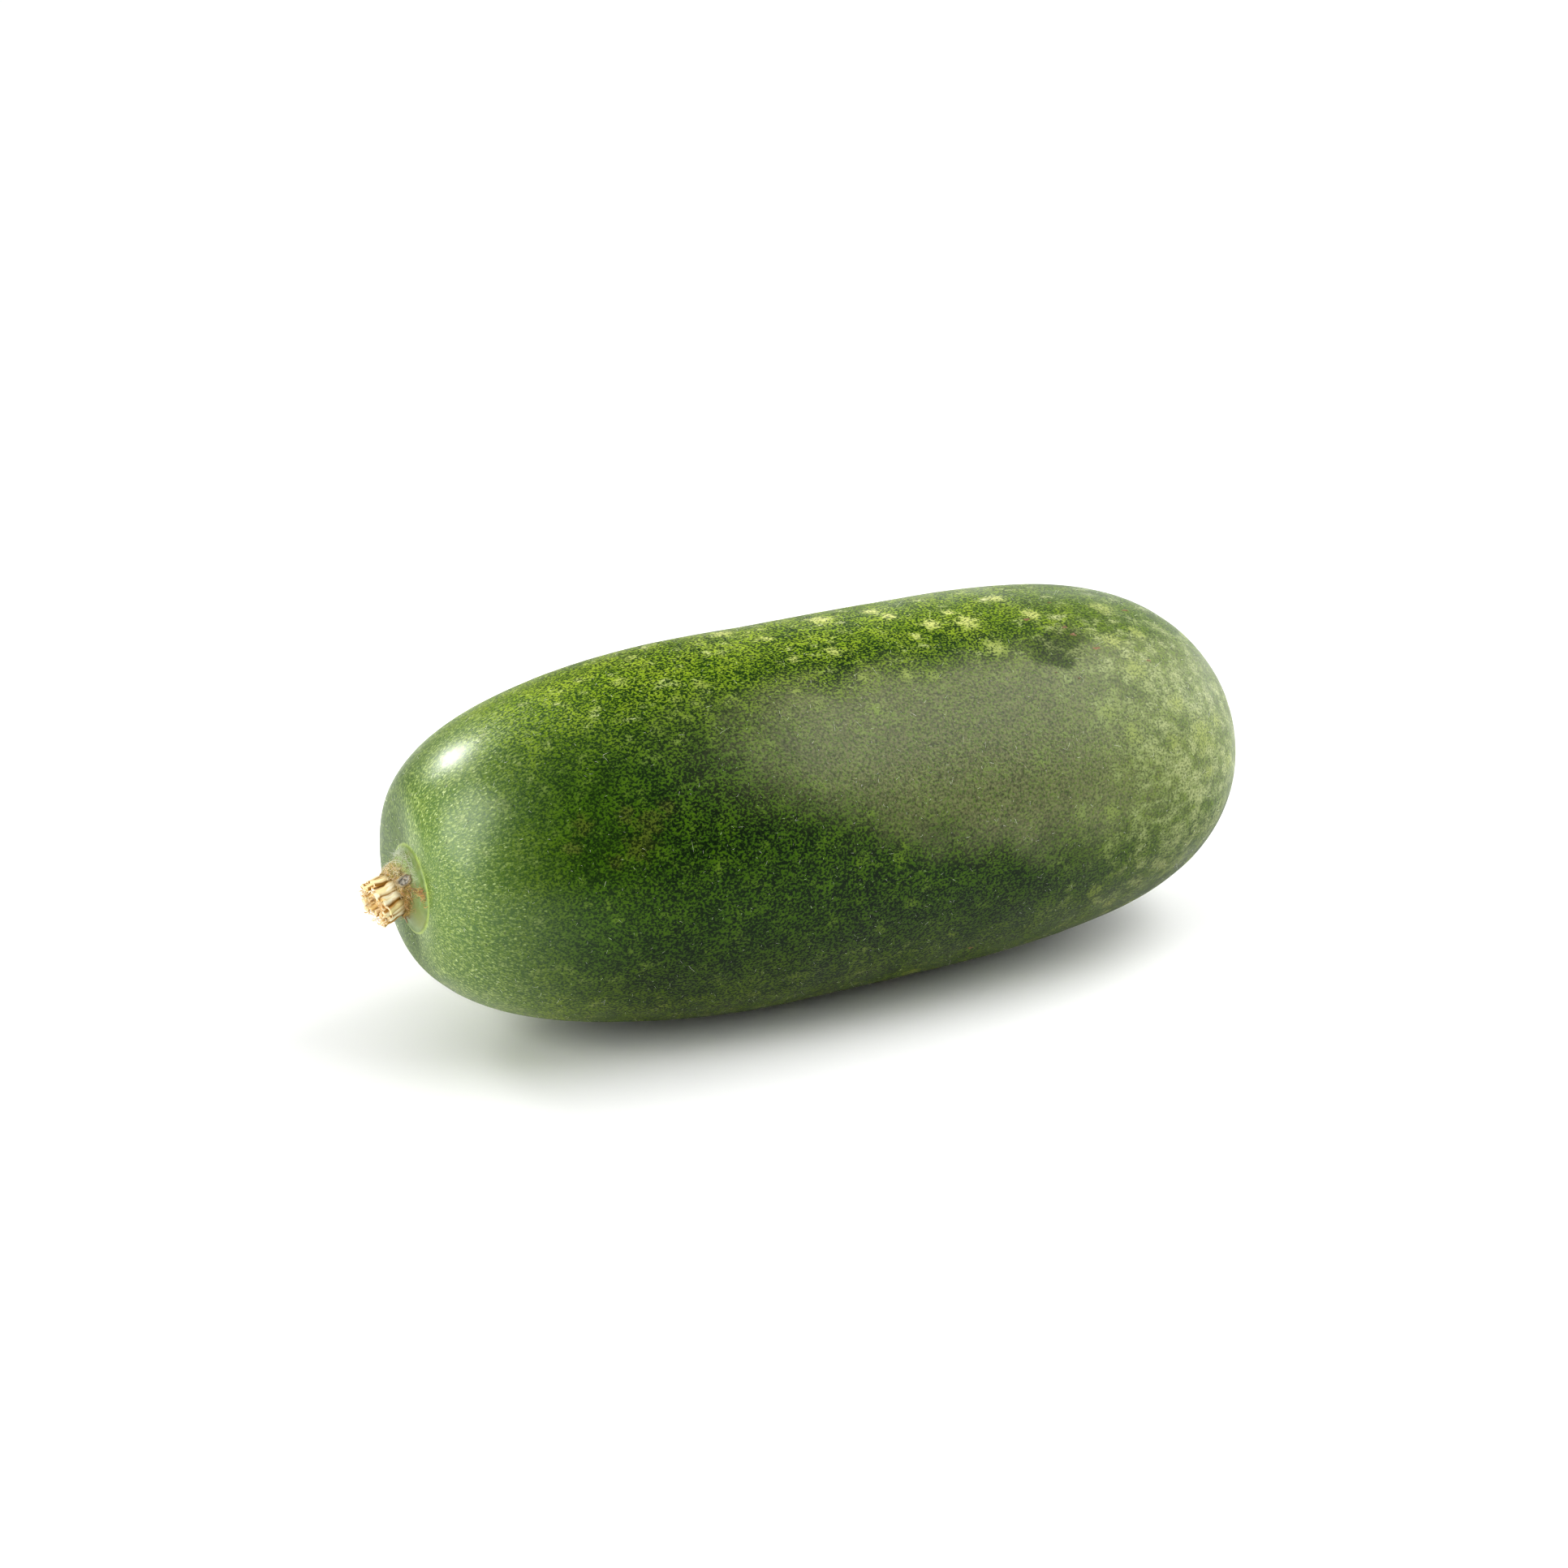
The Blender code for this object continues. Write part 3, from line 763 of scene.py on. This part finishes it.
def make_strands():
    """All strands as one mesh, with each point's place on its strand and its nearness to the edge."""
    draw = random.Random(21)
    points, faces, fibre, edge, rise, row_depth = [], [], [], [], [], []
    for row, (count, ring_radius, width, depth, shortest, longest) in enumerate(STRAND_ROWS):
        for strand in range(count):
            angle = 2 * math.pi * (strand + draw.uniform(-0.13, 0.13)) / count
            reach = draw.uniform(shortest, longest) * STUB_LENGTH
            splay = draw.uniform(-0.3, 0.5) * MM
            twist = draw.uniform(-0.26, 0.26)
            broad = draw.uniform(0.82, 1.22)
            seed = draw.uniform(0, 90)
            first = len(points)
            for ring in range(STRAND_RINGS + 2):
                share = min(ring / (STRAND_RINGS - 1), 1.0)
                shrink = (1.0, 0.93, 0.5)[max(ring - STRAND_RINGS + 1, 0)]
                turned = angle + twist * share
                out = stub_out(turned)
                side = STUB_AXIS.cross(out)
                spread = ring_radius * (FOOT_SPREAD + (1 - FOOT_SPREAD) * share) + splay * share**3
                wander = 0.2 * MM * noise.noise(Vector((seed, 4.5 * share, 0.0)))
                middle = stub_foot + out * (spread + wander) + side * wander
                swell = broad * (1 + 0.25 * noise.noise(Vector((seed, 6.0 * share, 5.0))))
                for step in range(STRAND_SIDES):
                    turn = 2 * math.pi * step / STRAND_SIDES
                    lump = noise.noise(Vector((seed, 1.2 * math.cos(turn), 3.5 * share)))
                    ridge = 1 + 0.07 * math.cos(7 * turn + seed) + 0.26 * lump
                    across = blunted(math.sin(turn), 0.6)
                    thick = blunted(math.cos(turn), 0.6)
                    chip = 0.22 * MM * noise.noise(Vector((seed, 1.6 * across, 1.6 * thick))) * (share == 1.0)
                    distance = (reach + FOOT_DEPTH) * share - FOOT_DEPTH + chip * (0.4 + 0.6 * (shrink < 1))
                    offset = out * (thick * depth / 2) + side * (across * width / 2 * swell)
                    points.append(middle + STUB_AXIS * distance + offset * ridge * shrink)
                    fibre.append((across * width / 2 / MM + seed, thick * depth / 2 / MM, distance / MM))
                    edge.append(abs(across) ** 3 if shrink == 1.0 else 0.15)
                    rise.append(distance / STUB_LENGTH)
                    row_depth.append(row / 2)
            faces += ring_faces(STRAND_RINGS + 2, STRAND_SIDES, first)
            faces.append(tuple(range(len(points) - STRAND_SIDES, len(points))))
    return points, faces, fibre, edge, rise, row_depth


points, faces, fibre, edge, rise, row_depth = make_strands()
dry_strands, tree, shader = new_material("dry strands", Roughness=0.62, Specular_IOR_Level=0.35)
inputs = {0: read_place(tree, "fibre"), 1: DRAWN_OUT}
long_place = add_node(tree, "ShaderNodeVectorMath", inputs, operation="MULTIPLY").outputs[0]
streaks = cloud(tree, long_place, 0.22, detail=3.0, roughness=0.65)
broad_streaks = cloud(tree, long_place, 0.8, detail=1.0)
colour = mix_colours(tree, ramp(tree, broad_streaks, 0.35, 0.7), STRAND_CREAM, STRAND_STRAW)
colour = mix_colours(tree, ramp(tree, streaks, 0.52, 0.74, 0.0, 0.7), colour, STREAK_GOLD)
# Painted shade: each strand is darkened towards its sides, in the gaps between strands.
colour = mix_colours(tree, read_value(tree, "edge"), colour, GAP_PAINTED_SHADE)
colour = mix_colours(tree, times(tree, read_value(tree, "row"), 0.5), colour, INNER_TAN)
foot_share = ramp(tree, read_value(tree, "rise"), 0.36, 0.66, 0.8, 0.0)
colour = mix_colours(tree, foot_share, colour, FOOT_OLIVE)
tree.links.new(colour, shader.inputs["Base Color"])
bump_surface(tree, shader, streaks, 0.10 * MM)

strands = new_piece("stalk_strands", points, faces, dry_strands)
strands.data.set_sharp_from_angle(angle=math.radians(48))
keep(strands.data, "fibre", "FLOAT_VECTOR", fibre)
for name, values in (("edge", edge), ("rise", rise), ("row", row_depth)):
    keep(strands.data, name, "FLOAT", values)
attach(strands, "root")
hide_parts("stem")

# The pith.
# The soft middle of the stub shrank as it dried. It lies sunken between the strands, brown and crumbly, and
# ragged threads of it curl out over the cut.
PITH_HEIGHT = 0.66 * STUB_LENGTH
PITH_RADIUS = 3.0 * MM
PITH_RINGS = 14
PITH_SIDES = 60
PITH_TONE = 0.55
THREADS = 190
THREAD_REACH = 3.7 * MM
RIM_REACH = 2.9 * MM
SHREDS = 44
FIBRE_SHADES = (
    (0.0, paint(58, 46, 32)), (0.2, paint(124, 98, 70)), (0.38, paint(188, 146, 116)),
    (0.55, paint(216, 176, 116)), (0.75, paint(240, 206, 138)), (1.0, paint(255, 246, 222)),
)


def lay_tube(points, faces, path, thickness, sides=5):
    """Adds a closed tube along a path, thinner towards its far end."""
    first = len(points)
    side = (path[1] - path[0]).orthogonal().normalized()
    for step, place in enumerate(path):
        ahead = (path[min(step + 1, len(path) - 1)] - path[max(step - 1, 0)]).normalized()
        side = (side - ahead * side.dot(ahead)).normalized()
        other = ahead.cross(side)
        radius = thickness * (1 - 0.55 * step / (len(path) - 1))
        for corner in range(sides):
            turn = 2 * math.pi * corner / sides
            points.append(place + (side * math.cos(turn) + other * math.sin(turn)) * radius)
    faces += ring_faces(len(path), sides, first)
    faces.append(tuple(reversed(range(first, first + sides))))
    faces.append(tuple(range(len(points) - sides, len(points))))


def random_way(draw):
    """A direction drawn at random."""
    return Vector((draw.gauss(0, 1), draw.gauss(0, 1), draw.gauss(0, 1))).normalized()


def curled_path(draw, start, ahead, length, bend, steps=10):
    """A path that leaves start and bends steadily, about an axis drawn at random."""
    axis = ahead.cross(random_way(draw)).normalized()
    path = [start]
    for step in range(steps):
        ahead = Quaternion(axis, bend / steps) @ ahead
        path.append(path[-1] + ahead * length / steps)
    return path


def make_pith():
    """A lumpy disc across the stub, with its rim sunk in the strands."""
    points = []
    for ring in range(PITH_RINGS):
        reach = PITH_RADIUS * (ring + 0.4) / PITH_RINGS
        for step in range(PITH_SIDES):
            angle = 2 * math.pi * step / PITH_SIDES
            spot = Vector((reach * math.cos(angle), reach * math.sin(angle), 0.0)) / MM
            lump = 0.45 * noise.noise(spot * 1.3) + 0.22 * noise.noise(spot * 3.7)
            height = PITH_HEIGHT + (0.5 * (reach / PITH_RADIUS) ** 2 + lump) * MM
            points.append(stub_foot + STUB_AXIS * height + stub_out(angle) * reach)
    foot_angles = [2 * math.pi * step / PITH_SIDES for step in range(PITH_SIDES)]
    points += [stub_foot + stub_out(angle) * PITH_RADIUS for angle in foot_angles]
    faces = ring_faces(PITH_RINGS + 1, PITH_SIDES)
    faces.append(tuple(reversed(range(PITH_SIDES))))
    return points, faces


def make_curls():
    """The loose threads over the cut and round the strands' tips, and how pale each one is."""
    draw = random.Random(33)
    points, faces, tone = [], [], []
    for thread in range(THREADS):
        reach = THREAD_REACH * draw.random() ** 0.6
        angle = 2 * math.pi * draw.random()
        at_rim = reach > RIM_REACH
        if at_rim:
            height = STUB_LENGTH * draw.uniform(0.93, 0.99)
        else:
            height = PITH_HEIGHT + draw.uniform(-0.2, 0.7) * MM
        start = stub_foot + STUB_AXIS * height + stub_out(angle) * reach
        ahead = (STUB_AXIS * draw.uniform(0.2, 1.0) + random_way(draw) * 0.9).normalized()
        length = (draw.uniform(0.5, 1.3) if at_rim else draw.uniform(1.0, 2.6)) * MM
        path = curled_path(draw, start, ahead, length, draw.uniform(0.8, 4.6))
        lay_tube(points, faces, path, draw.uniform(0.045, 0.10) * MM)
        tone += [draw.uniform(0.6, 1.1)] * (len(points) - len(tone))
    for shred in range(SHREDS):
        angle = 2 * math.pi * draw.random()
        start = stub_foot + STUB_AXIS * STUB_LENGTH * draw.uniform(0.82, 0.97)
        start += stub_out(angle) * draw.uniform(3.3, 3.85) * MM
        outwards = STUB_AXIS * draw.uniform(0.1, 0.8) + stub_out(angle) * 0.7
        ahead = (outwards + random_way(draw) * 0.6).normalized()
        path = curled_path(draw, start, ahead, draw.uniform(0.7, 1.9) * MM, draw.uniform(1.5, 5.5))
        lay_tube(points, faces, path, draw.uniform(0.08, 0.19) * MM)
        tone += [draw.uniform(0.6, 1.1)] * (len(points) - len(tone))
    return points, faces, tone


def make_shrivel_group():
    """The uneven wrinkles of dead plant stuff, about Size across. They run around 0.5."""
    group, given, result = new_group("shrivel", "Place", ("Size", "Detail", "Raggedness"), ("Shrivel",))
    inputs = {
        "Vector": given["Place"],
        "Scale": math_node(group, "DIVIDE", 1.0, given["Size"]),
        "Detail": given["Detail"],
        "Roughness": given["Raggedness"],
    }
    wrinkles = add_node(group, "ShaderNodeTexNoise", inputs).outputs[0]
    group.links.new(wrinkles, result["Shrivel"])
    return group


shrivel_group = make_shrivel_group()


def shrivelled(tree, size, detail, raggedness):
    """Puts the shrivel group in a material, with its own values."""
    inputs = {"Place": place_in_mm(tree), "Size": size, "Detail": detail, "Raggedness": raggedness}
    return place_group(tree, shrivel_group, **inputs)["Shrivel"]


def make_dry_material():
    """Dead plant fibre. Its tone runs from nearly black, through red brown and gold, to cream."""
    material, tree, shader = new_material("dry fibre", Roughness=0.7, Specular_IOR_Level=0.3)
    uneven = shrivelled(tree, 0.5, 2.0, 0.5)
    own_tone = math_node(tree, "SUBTRACT", read_value(tree, "tone"), 0.15)
    tone = math_node(tree, "MULTIPLY_ADD", uneven, 0.3, own_tone)
    colours = tree.nodes.new("ShaderNodeValToRGB")
    tree.links.new(tone, colours.inputs["Fac"])
    steps = colours.color_ramp.elements
    while len(steps) < len(FIBRE_SHADES):
        steps.new(0.5)
    for step, (position, shade) in zip(steps, FIBRE_SHADES):
        step.position = position
        step.color = shade
    tree.links.new(colours.outputs["Color"], shader.inputs["Base Color"])
    bump_surface(tree, shader, uneven, 0.05 * MM)
    return material


def place_scrap(name, points, faces, tone, slot):
    """A piece of dead fibre, which rides with the fruit."""
    piece = new_piece(name, points, faces, dry_fibre)
    keep(piece.data, "tone", "FLOAT", tone)
    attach(piece, "root")


dry_fibre = make_dry_material()
points, faces = make_pith()
place_scrap("stalk_pith", points, faces, [PITH_TONE] * len(points), "stalk")
place_scrap("stalk_threads", *make_curls(), "stalk")

# The sheath.
# The rind of the stalk dried to a thin ragged skin round the foot of the strands, olive where it grows out
# of the collar and brown at its torn edge.
SHEATH_STEPS = 160
SHEATH_RINGS = 16
SHEATH_THICKNESS = 0.12 * MM
SHEATH_FOOT = 5.7 * MM
SHEATH_SUNK = 0.2 * MM
KNEE_HEIGHT = 2.2 * MM
KNEE_RADIUS = 4.55 * MM
TORN_HEIGHT = 3.1 * MM
TORN_RADIUS = 4.2 * MM
TALLEST_TURN = math.radians(190)
RIND_OLIVE, RIND_STRAW = paint(132, 128, 62), paint(168, 152, 84)
RIND_GREEN, TORN_TAN, RIND_BROWN = paint(142, 162, 96), paint(172, 138, 76), paint(98, 74, 38)
collar_middle = at_stalk_end(STALK_PLACE)


def on_sheath(angle, share, inwards=0.0):
    """A point of the sheath, from the collar at share 0 to the torn edge at share 1."""
    ragged = 0.7 * noise.noise(Vector((2.2 * math.cos(angle), 2.2 * math.sin(angle), 3.0)))
    ragged += 0.5 * noise.noise(Vector((11 * math.cos(angle), 11 * math.sin(angle), 7.0)))
    tall = 0.5 + 0.5 * math.cos(angle - TALLEST_TURN)
    top = TORN_HEIGHT + (0.4 * tall + 1.1 * ragged) * MM
    foot = collar_middle + body_way(angle) * (SHEATH_FOOT - inwards)
    foot.x -= collar_height(SHEATH_FOOT) - SHEATH_SUNK
    knee = stub_foot + STUB_AXIS * KNEE_HEIGHT + stub_out(angle) * (KNEE_RADIUS - inwards)
    tip = stub_foot + STUB_AXIS * top + stub_out(angle) * (TORN_RADIUS - inwards)
    bulge = 0.22 * MM * share * noise.noise(Vector((7 * math.cos(angle), 7 * math.sin(angle), 2.5 * share)))
    return foot * (1 - share) ** 2 + knee * 2 * share * (1 - share) + tip * share**2 + stub_out(angle) * bulge


points, rise = [], []
shares = [step / (SHEATH_RINGS - 1) for step in range(SHEATH_RINGS)]
sheath_angles = [2 * math.pi * step / SHEATH_STEPS for step in range(SHEATH_STEPS)]
for inwards, order in ((0.0, shares), (SHEATH_THICKNESS, shares[::-1])):
    for share in order:
        points += [on_sheath(angle, share, inwards) for angle in sheath_angles]
        rise += [share] * SHEATH_STEPS
faces = ring_faces(2 * SHEATH_RINGS, SHEATH_STEPS)
dry_rind, tree, shader = new_material("dry rind", Roughness=0.6, Specular_IOR_Level=0.35)
height = read_value(tree, "rise")
uneven = shrivelled(tree, 0.9, 4.0, 0.65)
colour = mix_colours(tree, ramp(tree, uneven, 0.35, 0.65), RIND_OLIVE, RIND_STRAW)
colour = mix_colours(tree, ramp(tree, height, 0.1, 0.5, 1.0, 0.0), colour, RIND_GREEN)
torn = times(tree, ramp(tree, height, 0.62, 1.0), ramp(tree, uneven, 0.4, 0.6, 0.4, 1.0))
colour = mix_colours(tree, torn, colour, TORN_TAN)
brown_share = ramp(tree, cloud(tree, place_in_mm(tree), 0.7, detail=3.0), 0.54, 0.68, 0.0, 0.8)
colour = mix_colours(tree, brown_share, colour, RIND_BROWN)
tree.links.new(colour, shader.inputs["Base Color"])
bump_surface(tree, shader, uneven, 0.25 * MM)
sheath = new_piece("stalk_sheath", points, faces, dry_rind)
keep(sheath.data, "rise", "FLOAT", rise)
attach(sheath, "root")

# The dead bud.
# A small bud beside the stalk withered. It left a shrivelled cup with a thick pale lip and dark shreds
# inside. Its outline is given in mm, as a reach from the middle, a height and a share of shreds.
BUD_ANGLE = math.radians(136)
BUD_OUTLINE = (
    (1.30, -0.35, 0.0), (1.34, 0.05, 0.0), (1.26, 0.42, 0.1), (1.08, 0.62, 0.3),
    (0.88, 0.54, 0.7), (0.68, 0.30, 1.0), (0.44, 0.14, 1.0), (0.18, 0.22, 0.9),
)
BUD_LENGTH = 1.15
BUD_BREADTH = 0.76
BUD_SIDES = 40
BUD_TAN, BUD_CREAM = paint(150, 132, 92), paint(192, 172, 128)
SHRED_GREY, SHRED_PALE = paint(110, 104, 98), paint(192, 188, 178)
bud_place = on_sheath(BUD_ANGLE, 0.5)
bud_out = (stub_out(BUD_ANGLE) + STUB_AXIS * 0.25).normalized()
bud_side = STUB_AXIS.cross(bud_out).normalized()
bud_ahead = bud_out.cross(bud_side)
points, tone = [], []
for reach, height, darkness in BUD_OUTLINE:
    for step in range(BUD_SIDES):
        angle = 2 * math.pi * step / BUD_SIDES
        lump = 1 + 0.22 * noise.noise(Vector((2 * math.cos(angle), 2 * math.sin(angle), 2 * height)))
        flat = bud_ahead * math.cos(angle) * BUD_LENGTH + bud_side * math.sin(angle) * BUD_BREADTH
        points.append(bud_place + (flat * reach + bud_out * height) * lump * MM)
        tone.append(darkness)
faces = ring_faces(len(BUD_OUTLINE), BUD_SIDES)
faces.append(tuple(range(len(points) - BUD_SIDES, len(points))))
withered_bud, tree, shader = new_material("withered bud", Roughness=0.65, Specular_IOR_Level=0.4)
uneven = shrivelled(tree, 0.5, 3.0, 0.7)
colour = mix_colours(tree, ramp(tree, uneven, 0.4, 0.6), BUD_TAN, BUD_CREAM)
shreds = mix_colours(tree, ramp(tree, uneven, 0.42, 0.62), SHRED_GREY, SHRED_PALE)
colour = mix_colours(tree, read_value(tree, "tone"), colour, shreds)
tree.links.new(colour, shader.inputs["Base Color"])
bump_surface(tree, shader, uneven, 0.2 * MM)
bud = new_piece("dead_bud", points, faces, withered_bud)
keep(bud.data, "tone", "FLOAT", tone)
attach(bud, "root")

# Scraps on the collar.
# A tuft of pink brown threads and a few torn strips are stuck to the collar, where small leaves had grown.
# Each part of the fuzz has a middle angle, a spread, a count of threads, a palest tone and a greatest
# thickness.
TUFT_ANGLE = math.radians(168)
TUFT_THREADS = 110
STRIP_ANGLES = (281, 285, 290)
STRIP_STEPS = 9
FUZZ = (
    (112, 34, 250, 1.15, 0.04),
    (178, 26, 150, 0.78, 0.042),
    (255, 30, 80, 0.7, 0.045),
)
skin_faces = [tuple(face.vertices) for face in skin_mesh.polygons]
skin_tree = BVHTree.FromPolygons([tuple(point) for point in skin_places], skin_faces)


def on_collar(angle, radius):
    """A point of the collar's surface, and the way out of it."""
    place, way_out, _, _ = skin_tree.find_nearest(on_body(-collar_height(radius), radius, angle) + rest)
    return place, way_out


def make_tuft():
    """The tuft of threads and the torn strips, which lie flat on the collar."""
    draw = random.Random(41)
    points, faces, tone = [], [], []
    for thread in range(TUFT_THREADS):
        place, way_out = on_collar(TUFT_ANGLE + draw.gauss(0, 0.09), draw.gauss(6.4, 0.6) * MM)
        ahead = (way_out * draw.uniform(0.2, 0.9) + random_way(draw) * 0.8).normalized()
        start = place - way_out * 0.1 * MM
        path = curled_path(draw, start, ahead, draw.uniform(0.7, 1.7) * MM, draw.uniform(1.0, 4.0))
        lay_tube(points, faces, path, draw.uniform(0.025, 0.065) * MM)
        tone += [draw.uniform(0.34, 0.7)] * (len(points) - len(tone))
    for angle in STRIP_ANGLES:
        path = []
        for step in range(STRIP_STEPS):
            wander = math.radians(angle + 3 * noise.noise(Vector((angle, step / 3, 0))))
            place, way_out = on_collar(wander, (5.3 + 0.22 * step) * MM)
            path.append(place + way_out * 0.06 * MM)
        lay_tube(points, faces, path, draw.uniform(0.10, 0.17) * MM, 6)
        tone += [draw.uniform(0.3, 0.6)] * (len(points) - len(tone))
    return points, faces, tone


def make_fuzz():
    """Fine curly threads matted round the foot of the stub, pale on top, and brown in front and below."""
    draw = random.Random(43)
    points, faces, tone = [], [], []
    for middle, spread, count, palest, thickest in FUZZ:
        for thread in range(count):
            angle = math.radians(draw.gauss(middle, spread))
            start = on_sheath(angle, draw.uniform(0.35, 1.0))
            ahead = (stub_out(angle) * 0.4 + random_way(draw)).normalized()
            path = curled_path(draw, start, ahead, draw.uniform(0.7, 2.0) * MM, draw.uniform(1.5, 6.0))
            lay_tube(points, faces, path, draw.uniform(0.018, thickest) * MM, 3)
            tone += [draw.uniform(palest - 0.45, palest)] * (len(points) - len(tone))
    return points, faces, tone


place_scrap("collar_scraps", *make_tuft(), "stalk")
place_scrap("foot_fuzz", *make_fuzz(), "stalk")

# Scabs.
# Small scratches on the skin healed over with thin brown scabs. Each is a place along, an angle, a radius
# and a tone, where a lower tone is darker.
SCABS = (
    (117.2, 106.6, 0.9, 0.17), (123.4, 112.3, 0.8, 0.20), (123.8, 116.4, 0.8, 0.22),
    (126.9, 123.0, 0.9, 0.21), (140.2, 103.6, 1.0, 0.19), (137.2, 129.1, 0.7, 0.20),
    (115.9, 129.4, 0.4, 0.10), (120.0, 132.7, 0.4, 0.10), (125.0, 98.6, 0.5, 0.15),
    (96.0, 220.0, 0.9, 0.20), (70.0, 300.0, 0.8, 0.20), (112.0, 20.0, 0.9, 0.20),
)


def make_scabs():
    """Thin ragged crusts that follow the skin."""
    draw = random.Random(47)
    points, faces, tone = [], [], []
    rings, sides = 5, 26
    for along, angle, radius, shade in SCABS:
        along, angle = along * MM, math.radians(angle)
        middle, way_out, _, _ = skin_tree.find_nearest(on_body(along, girth(along), angle) + rest)
        ahead = Vector((1, 0, 0)).cross(way_out).cross(way_out).normalized()
        side = ahead.cross(way_out)
        seed = draw.uniform(0, 50)
        first = len(points)
        for ring in range(rings):
            share = (ring + 0.3) / (rings - 0.7)
            for step in range(sides):
                turn = 2 * math.pi * step / sides
                ragged = 0.6 + 0.8 * noise.noise(Vector((seed, 1.7 * math.cos(turn), 1.7 * math.sin(turn))))
                reach = radius * MM * share * ragged
                spot = middle + (ahead * math.cos(turn) * 1.25 + side * math.sin(turn) * 0.7) * reach
                place, way_out, _, _ = skin_tree.find_nearest(spot)
                points.append(place + way_out * (0.07 * (1 - share**3) - 0.02) * MM)
        faces += ring_faces(rings, sides, first)
        faces.append(tuple(reversed(range(first, first + sides))))
        tone += [shade] * (len(points) - len(tone))
    return points, faces, tone


place_scrap("scabs", *make_scabs(), "skin")

# The hairs.
# A young fruit is covered in fine white hairs. Most have broken off short by the time it is picked, and some
# long ones are left near the collar. They are tapered threads of three sides.
SKIN_HAIRS = 2600
SHORT_SHARE = 0.94
BARE_BELOW = 3 * MM
HAIRS_FROM = 0.5 * MM
HAIR_POINTS = 10
COLLAR_HAIRS = 200
HAIR_RADIUS = 0.017 * MM
LONG_HAIR_TURN = math.radians(100)
LONG_HAIR = ((0, 0), (-0.7, 0.28), (-1.6, 0.15), (-2.4, -0.28), (-2.9, -0.83), (-3.2, -1.5), (-3.35, -2.2))


def lay_hair(points, faces, root, ahead, droop, length, radius):
    """A hair that leaves its root and droops to one side. It has three sides and comes to a point."""
    first = len(points)
    side = ahead.orthogonal().normalized()
    other = ahead.cross(side)
    for share in (0.0, 0.33, 0.66):
        middle = root + ahead * (length * share) + droop * (length * share * share)
        thickness = radius * (1 - 0.5 * share)
        for corner in range(3):
            turn = 2 * math.pi * corner / 3
            points.append(middle + (side * math.cos(turn) + other * math.sin(turn)) * thickness)
    points.append(root + ahead * length + droop * length)
    faces += ring_faces(3, 3, first)
    faces += [(first + low, first + high, first + 9) for low, high in ((6, 7), (7, 8), (8, 6))]


def skin_hairs():
    """Short hairs drawn over the whole skin, at the same number for every patch of the same size."""
    draw = random.Random(57)
    centres = np.empty(len(skin_mesh.polygons) * 3)
    normals = np.empty(len(skin_mesh.polygons) * 3)
    areas = np.empty(len(skin_mesh.polygons))
    skin_mesh.polygons.foreach_get("center", centres)
    skin_mesh.polygons.foreach_get("normal", normals)
    skin_mesh.polygons.foreach_get("area", areas)
    centres, normals = centres.reshape(-1, 3), normals.reshape(-1, 3)
    growing = np.repeat(np.array(runs[:-1]) > HAIRS_FROM, POINTS_ROUND)
    reached = np.cumsum(areas * growing)
    points, faces = [], []
    while len(points) < SKIN_HAIRS * HAIR_POINTS:
        face = int(np.searchsorted(reached, draw.random() * reached[-1]))
        root, way_out = Vector(centres[face]), Vector(normals[face])
        lean = (random_way(draw) - way_out * 0.2).cross(way_out).normalized()
        tilt = draw.uniform(0.2, 1.3)
        ahead = (way_out * math.cos(tilt) + lean * math.sin(tilt)).normalized()
        length = (draw.uniform(0.25, 0.7) if draw.random() < SHORT_SHARE else draw.uniform(0.9, 1.8)) * MM
        if root.z > BARE_BELOW:
            droop = lean * 0.4 - way_out * draw.uniform(0.0, 0.25)
            start = root - way_out * 0.03 * MM
            lay_hair(points, faces, start, ahead, droop, length, draw.uniform(0.014, 0.026) * MM)
    return points, faces


def collar_hairs():
    """The longer hairs left on the upper side of the collar, and one very long one."""
    draw = random.Random(59)
    points, faces = [], []
    for hair in range(COLLAR_HAIRS):
        angle = math.radians(draw.gauss(100, 30))
        root, way_out = on_collar(angle, draw.uniform(4.8, 6.6) * MM)
        ahead = (way_out + random_way(draw) * 0.8).normalized()
        length = draw.uniform(0.6, 1.9) * MM
        start = root - way_out * 0.05 * MM
        lay_hair(points, faces, start, ahead, random_way(draw) * 0.4, length, HAIR_RADIUS)
    root, way_out = on_collar(LONG_HAIR_TURN, 5.1 * MM)
    turn_side = Vector((math.cos(VIEW_TURN), -math.sin(VIEW_TURN), 0.0))
    lift_side = turn_side.cross(-to_camera)
    path = [root + (turn_side * across + lift_side * up) * MM for across, up in LONG_HAIR]
    lay_tube(points, faces, path, 0.05 * MM, 4)
    return points, faces


white_hair, tree, shader = new_material("white hair", Roughness=0.4, Specular_IOR_Level=0.5)
colour = mix_colours(tree, cloud(tree, place_in_mm(tree), 2.0), paint(214, 218, 196), paint(250, 250, 240))
tree.links.new(colour, shader.inputs["Base Color"])
for name, (points, faces) in (("skin_hairs", skin_hairs()), ("collar_hairs", collar_hairs())):
    hairs = new_piece(name, points, faces, white_hair)
    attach(hairs, "root")
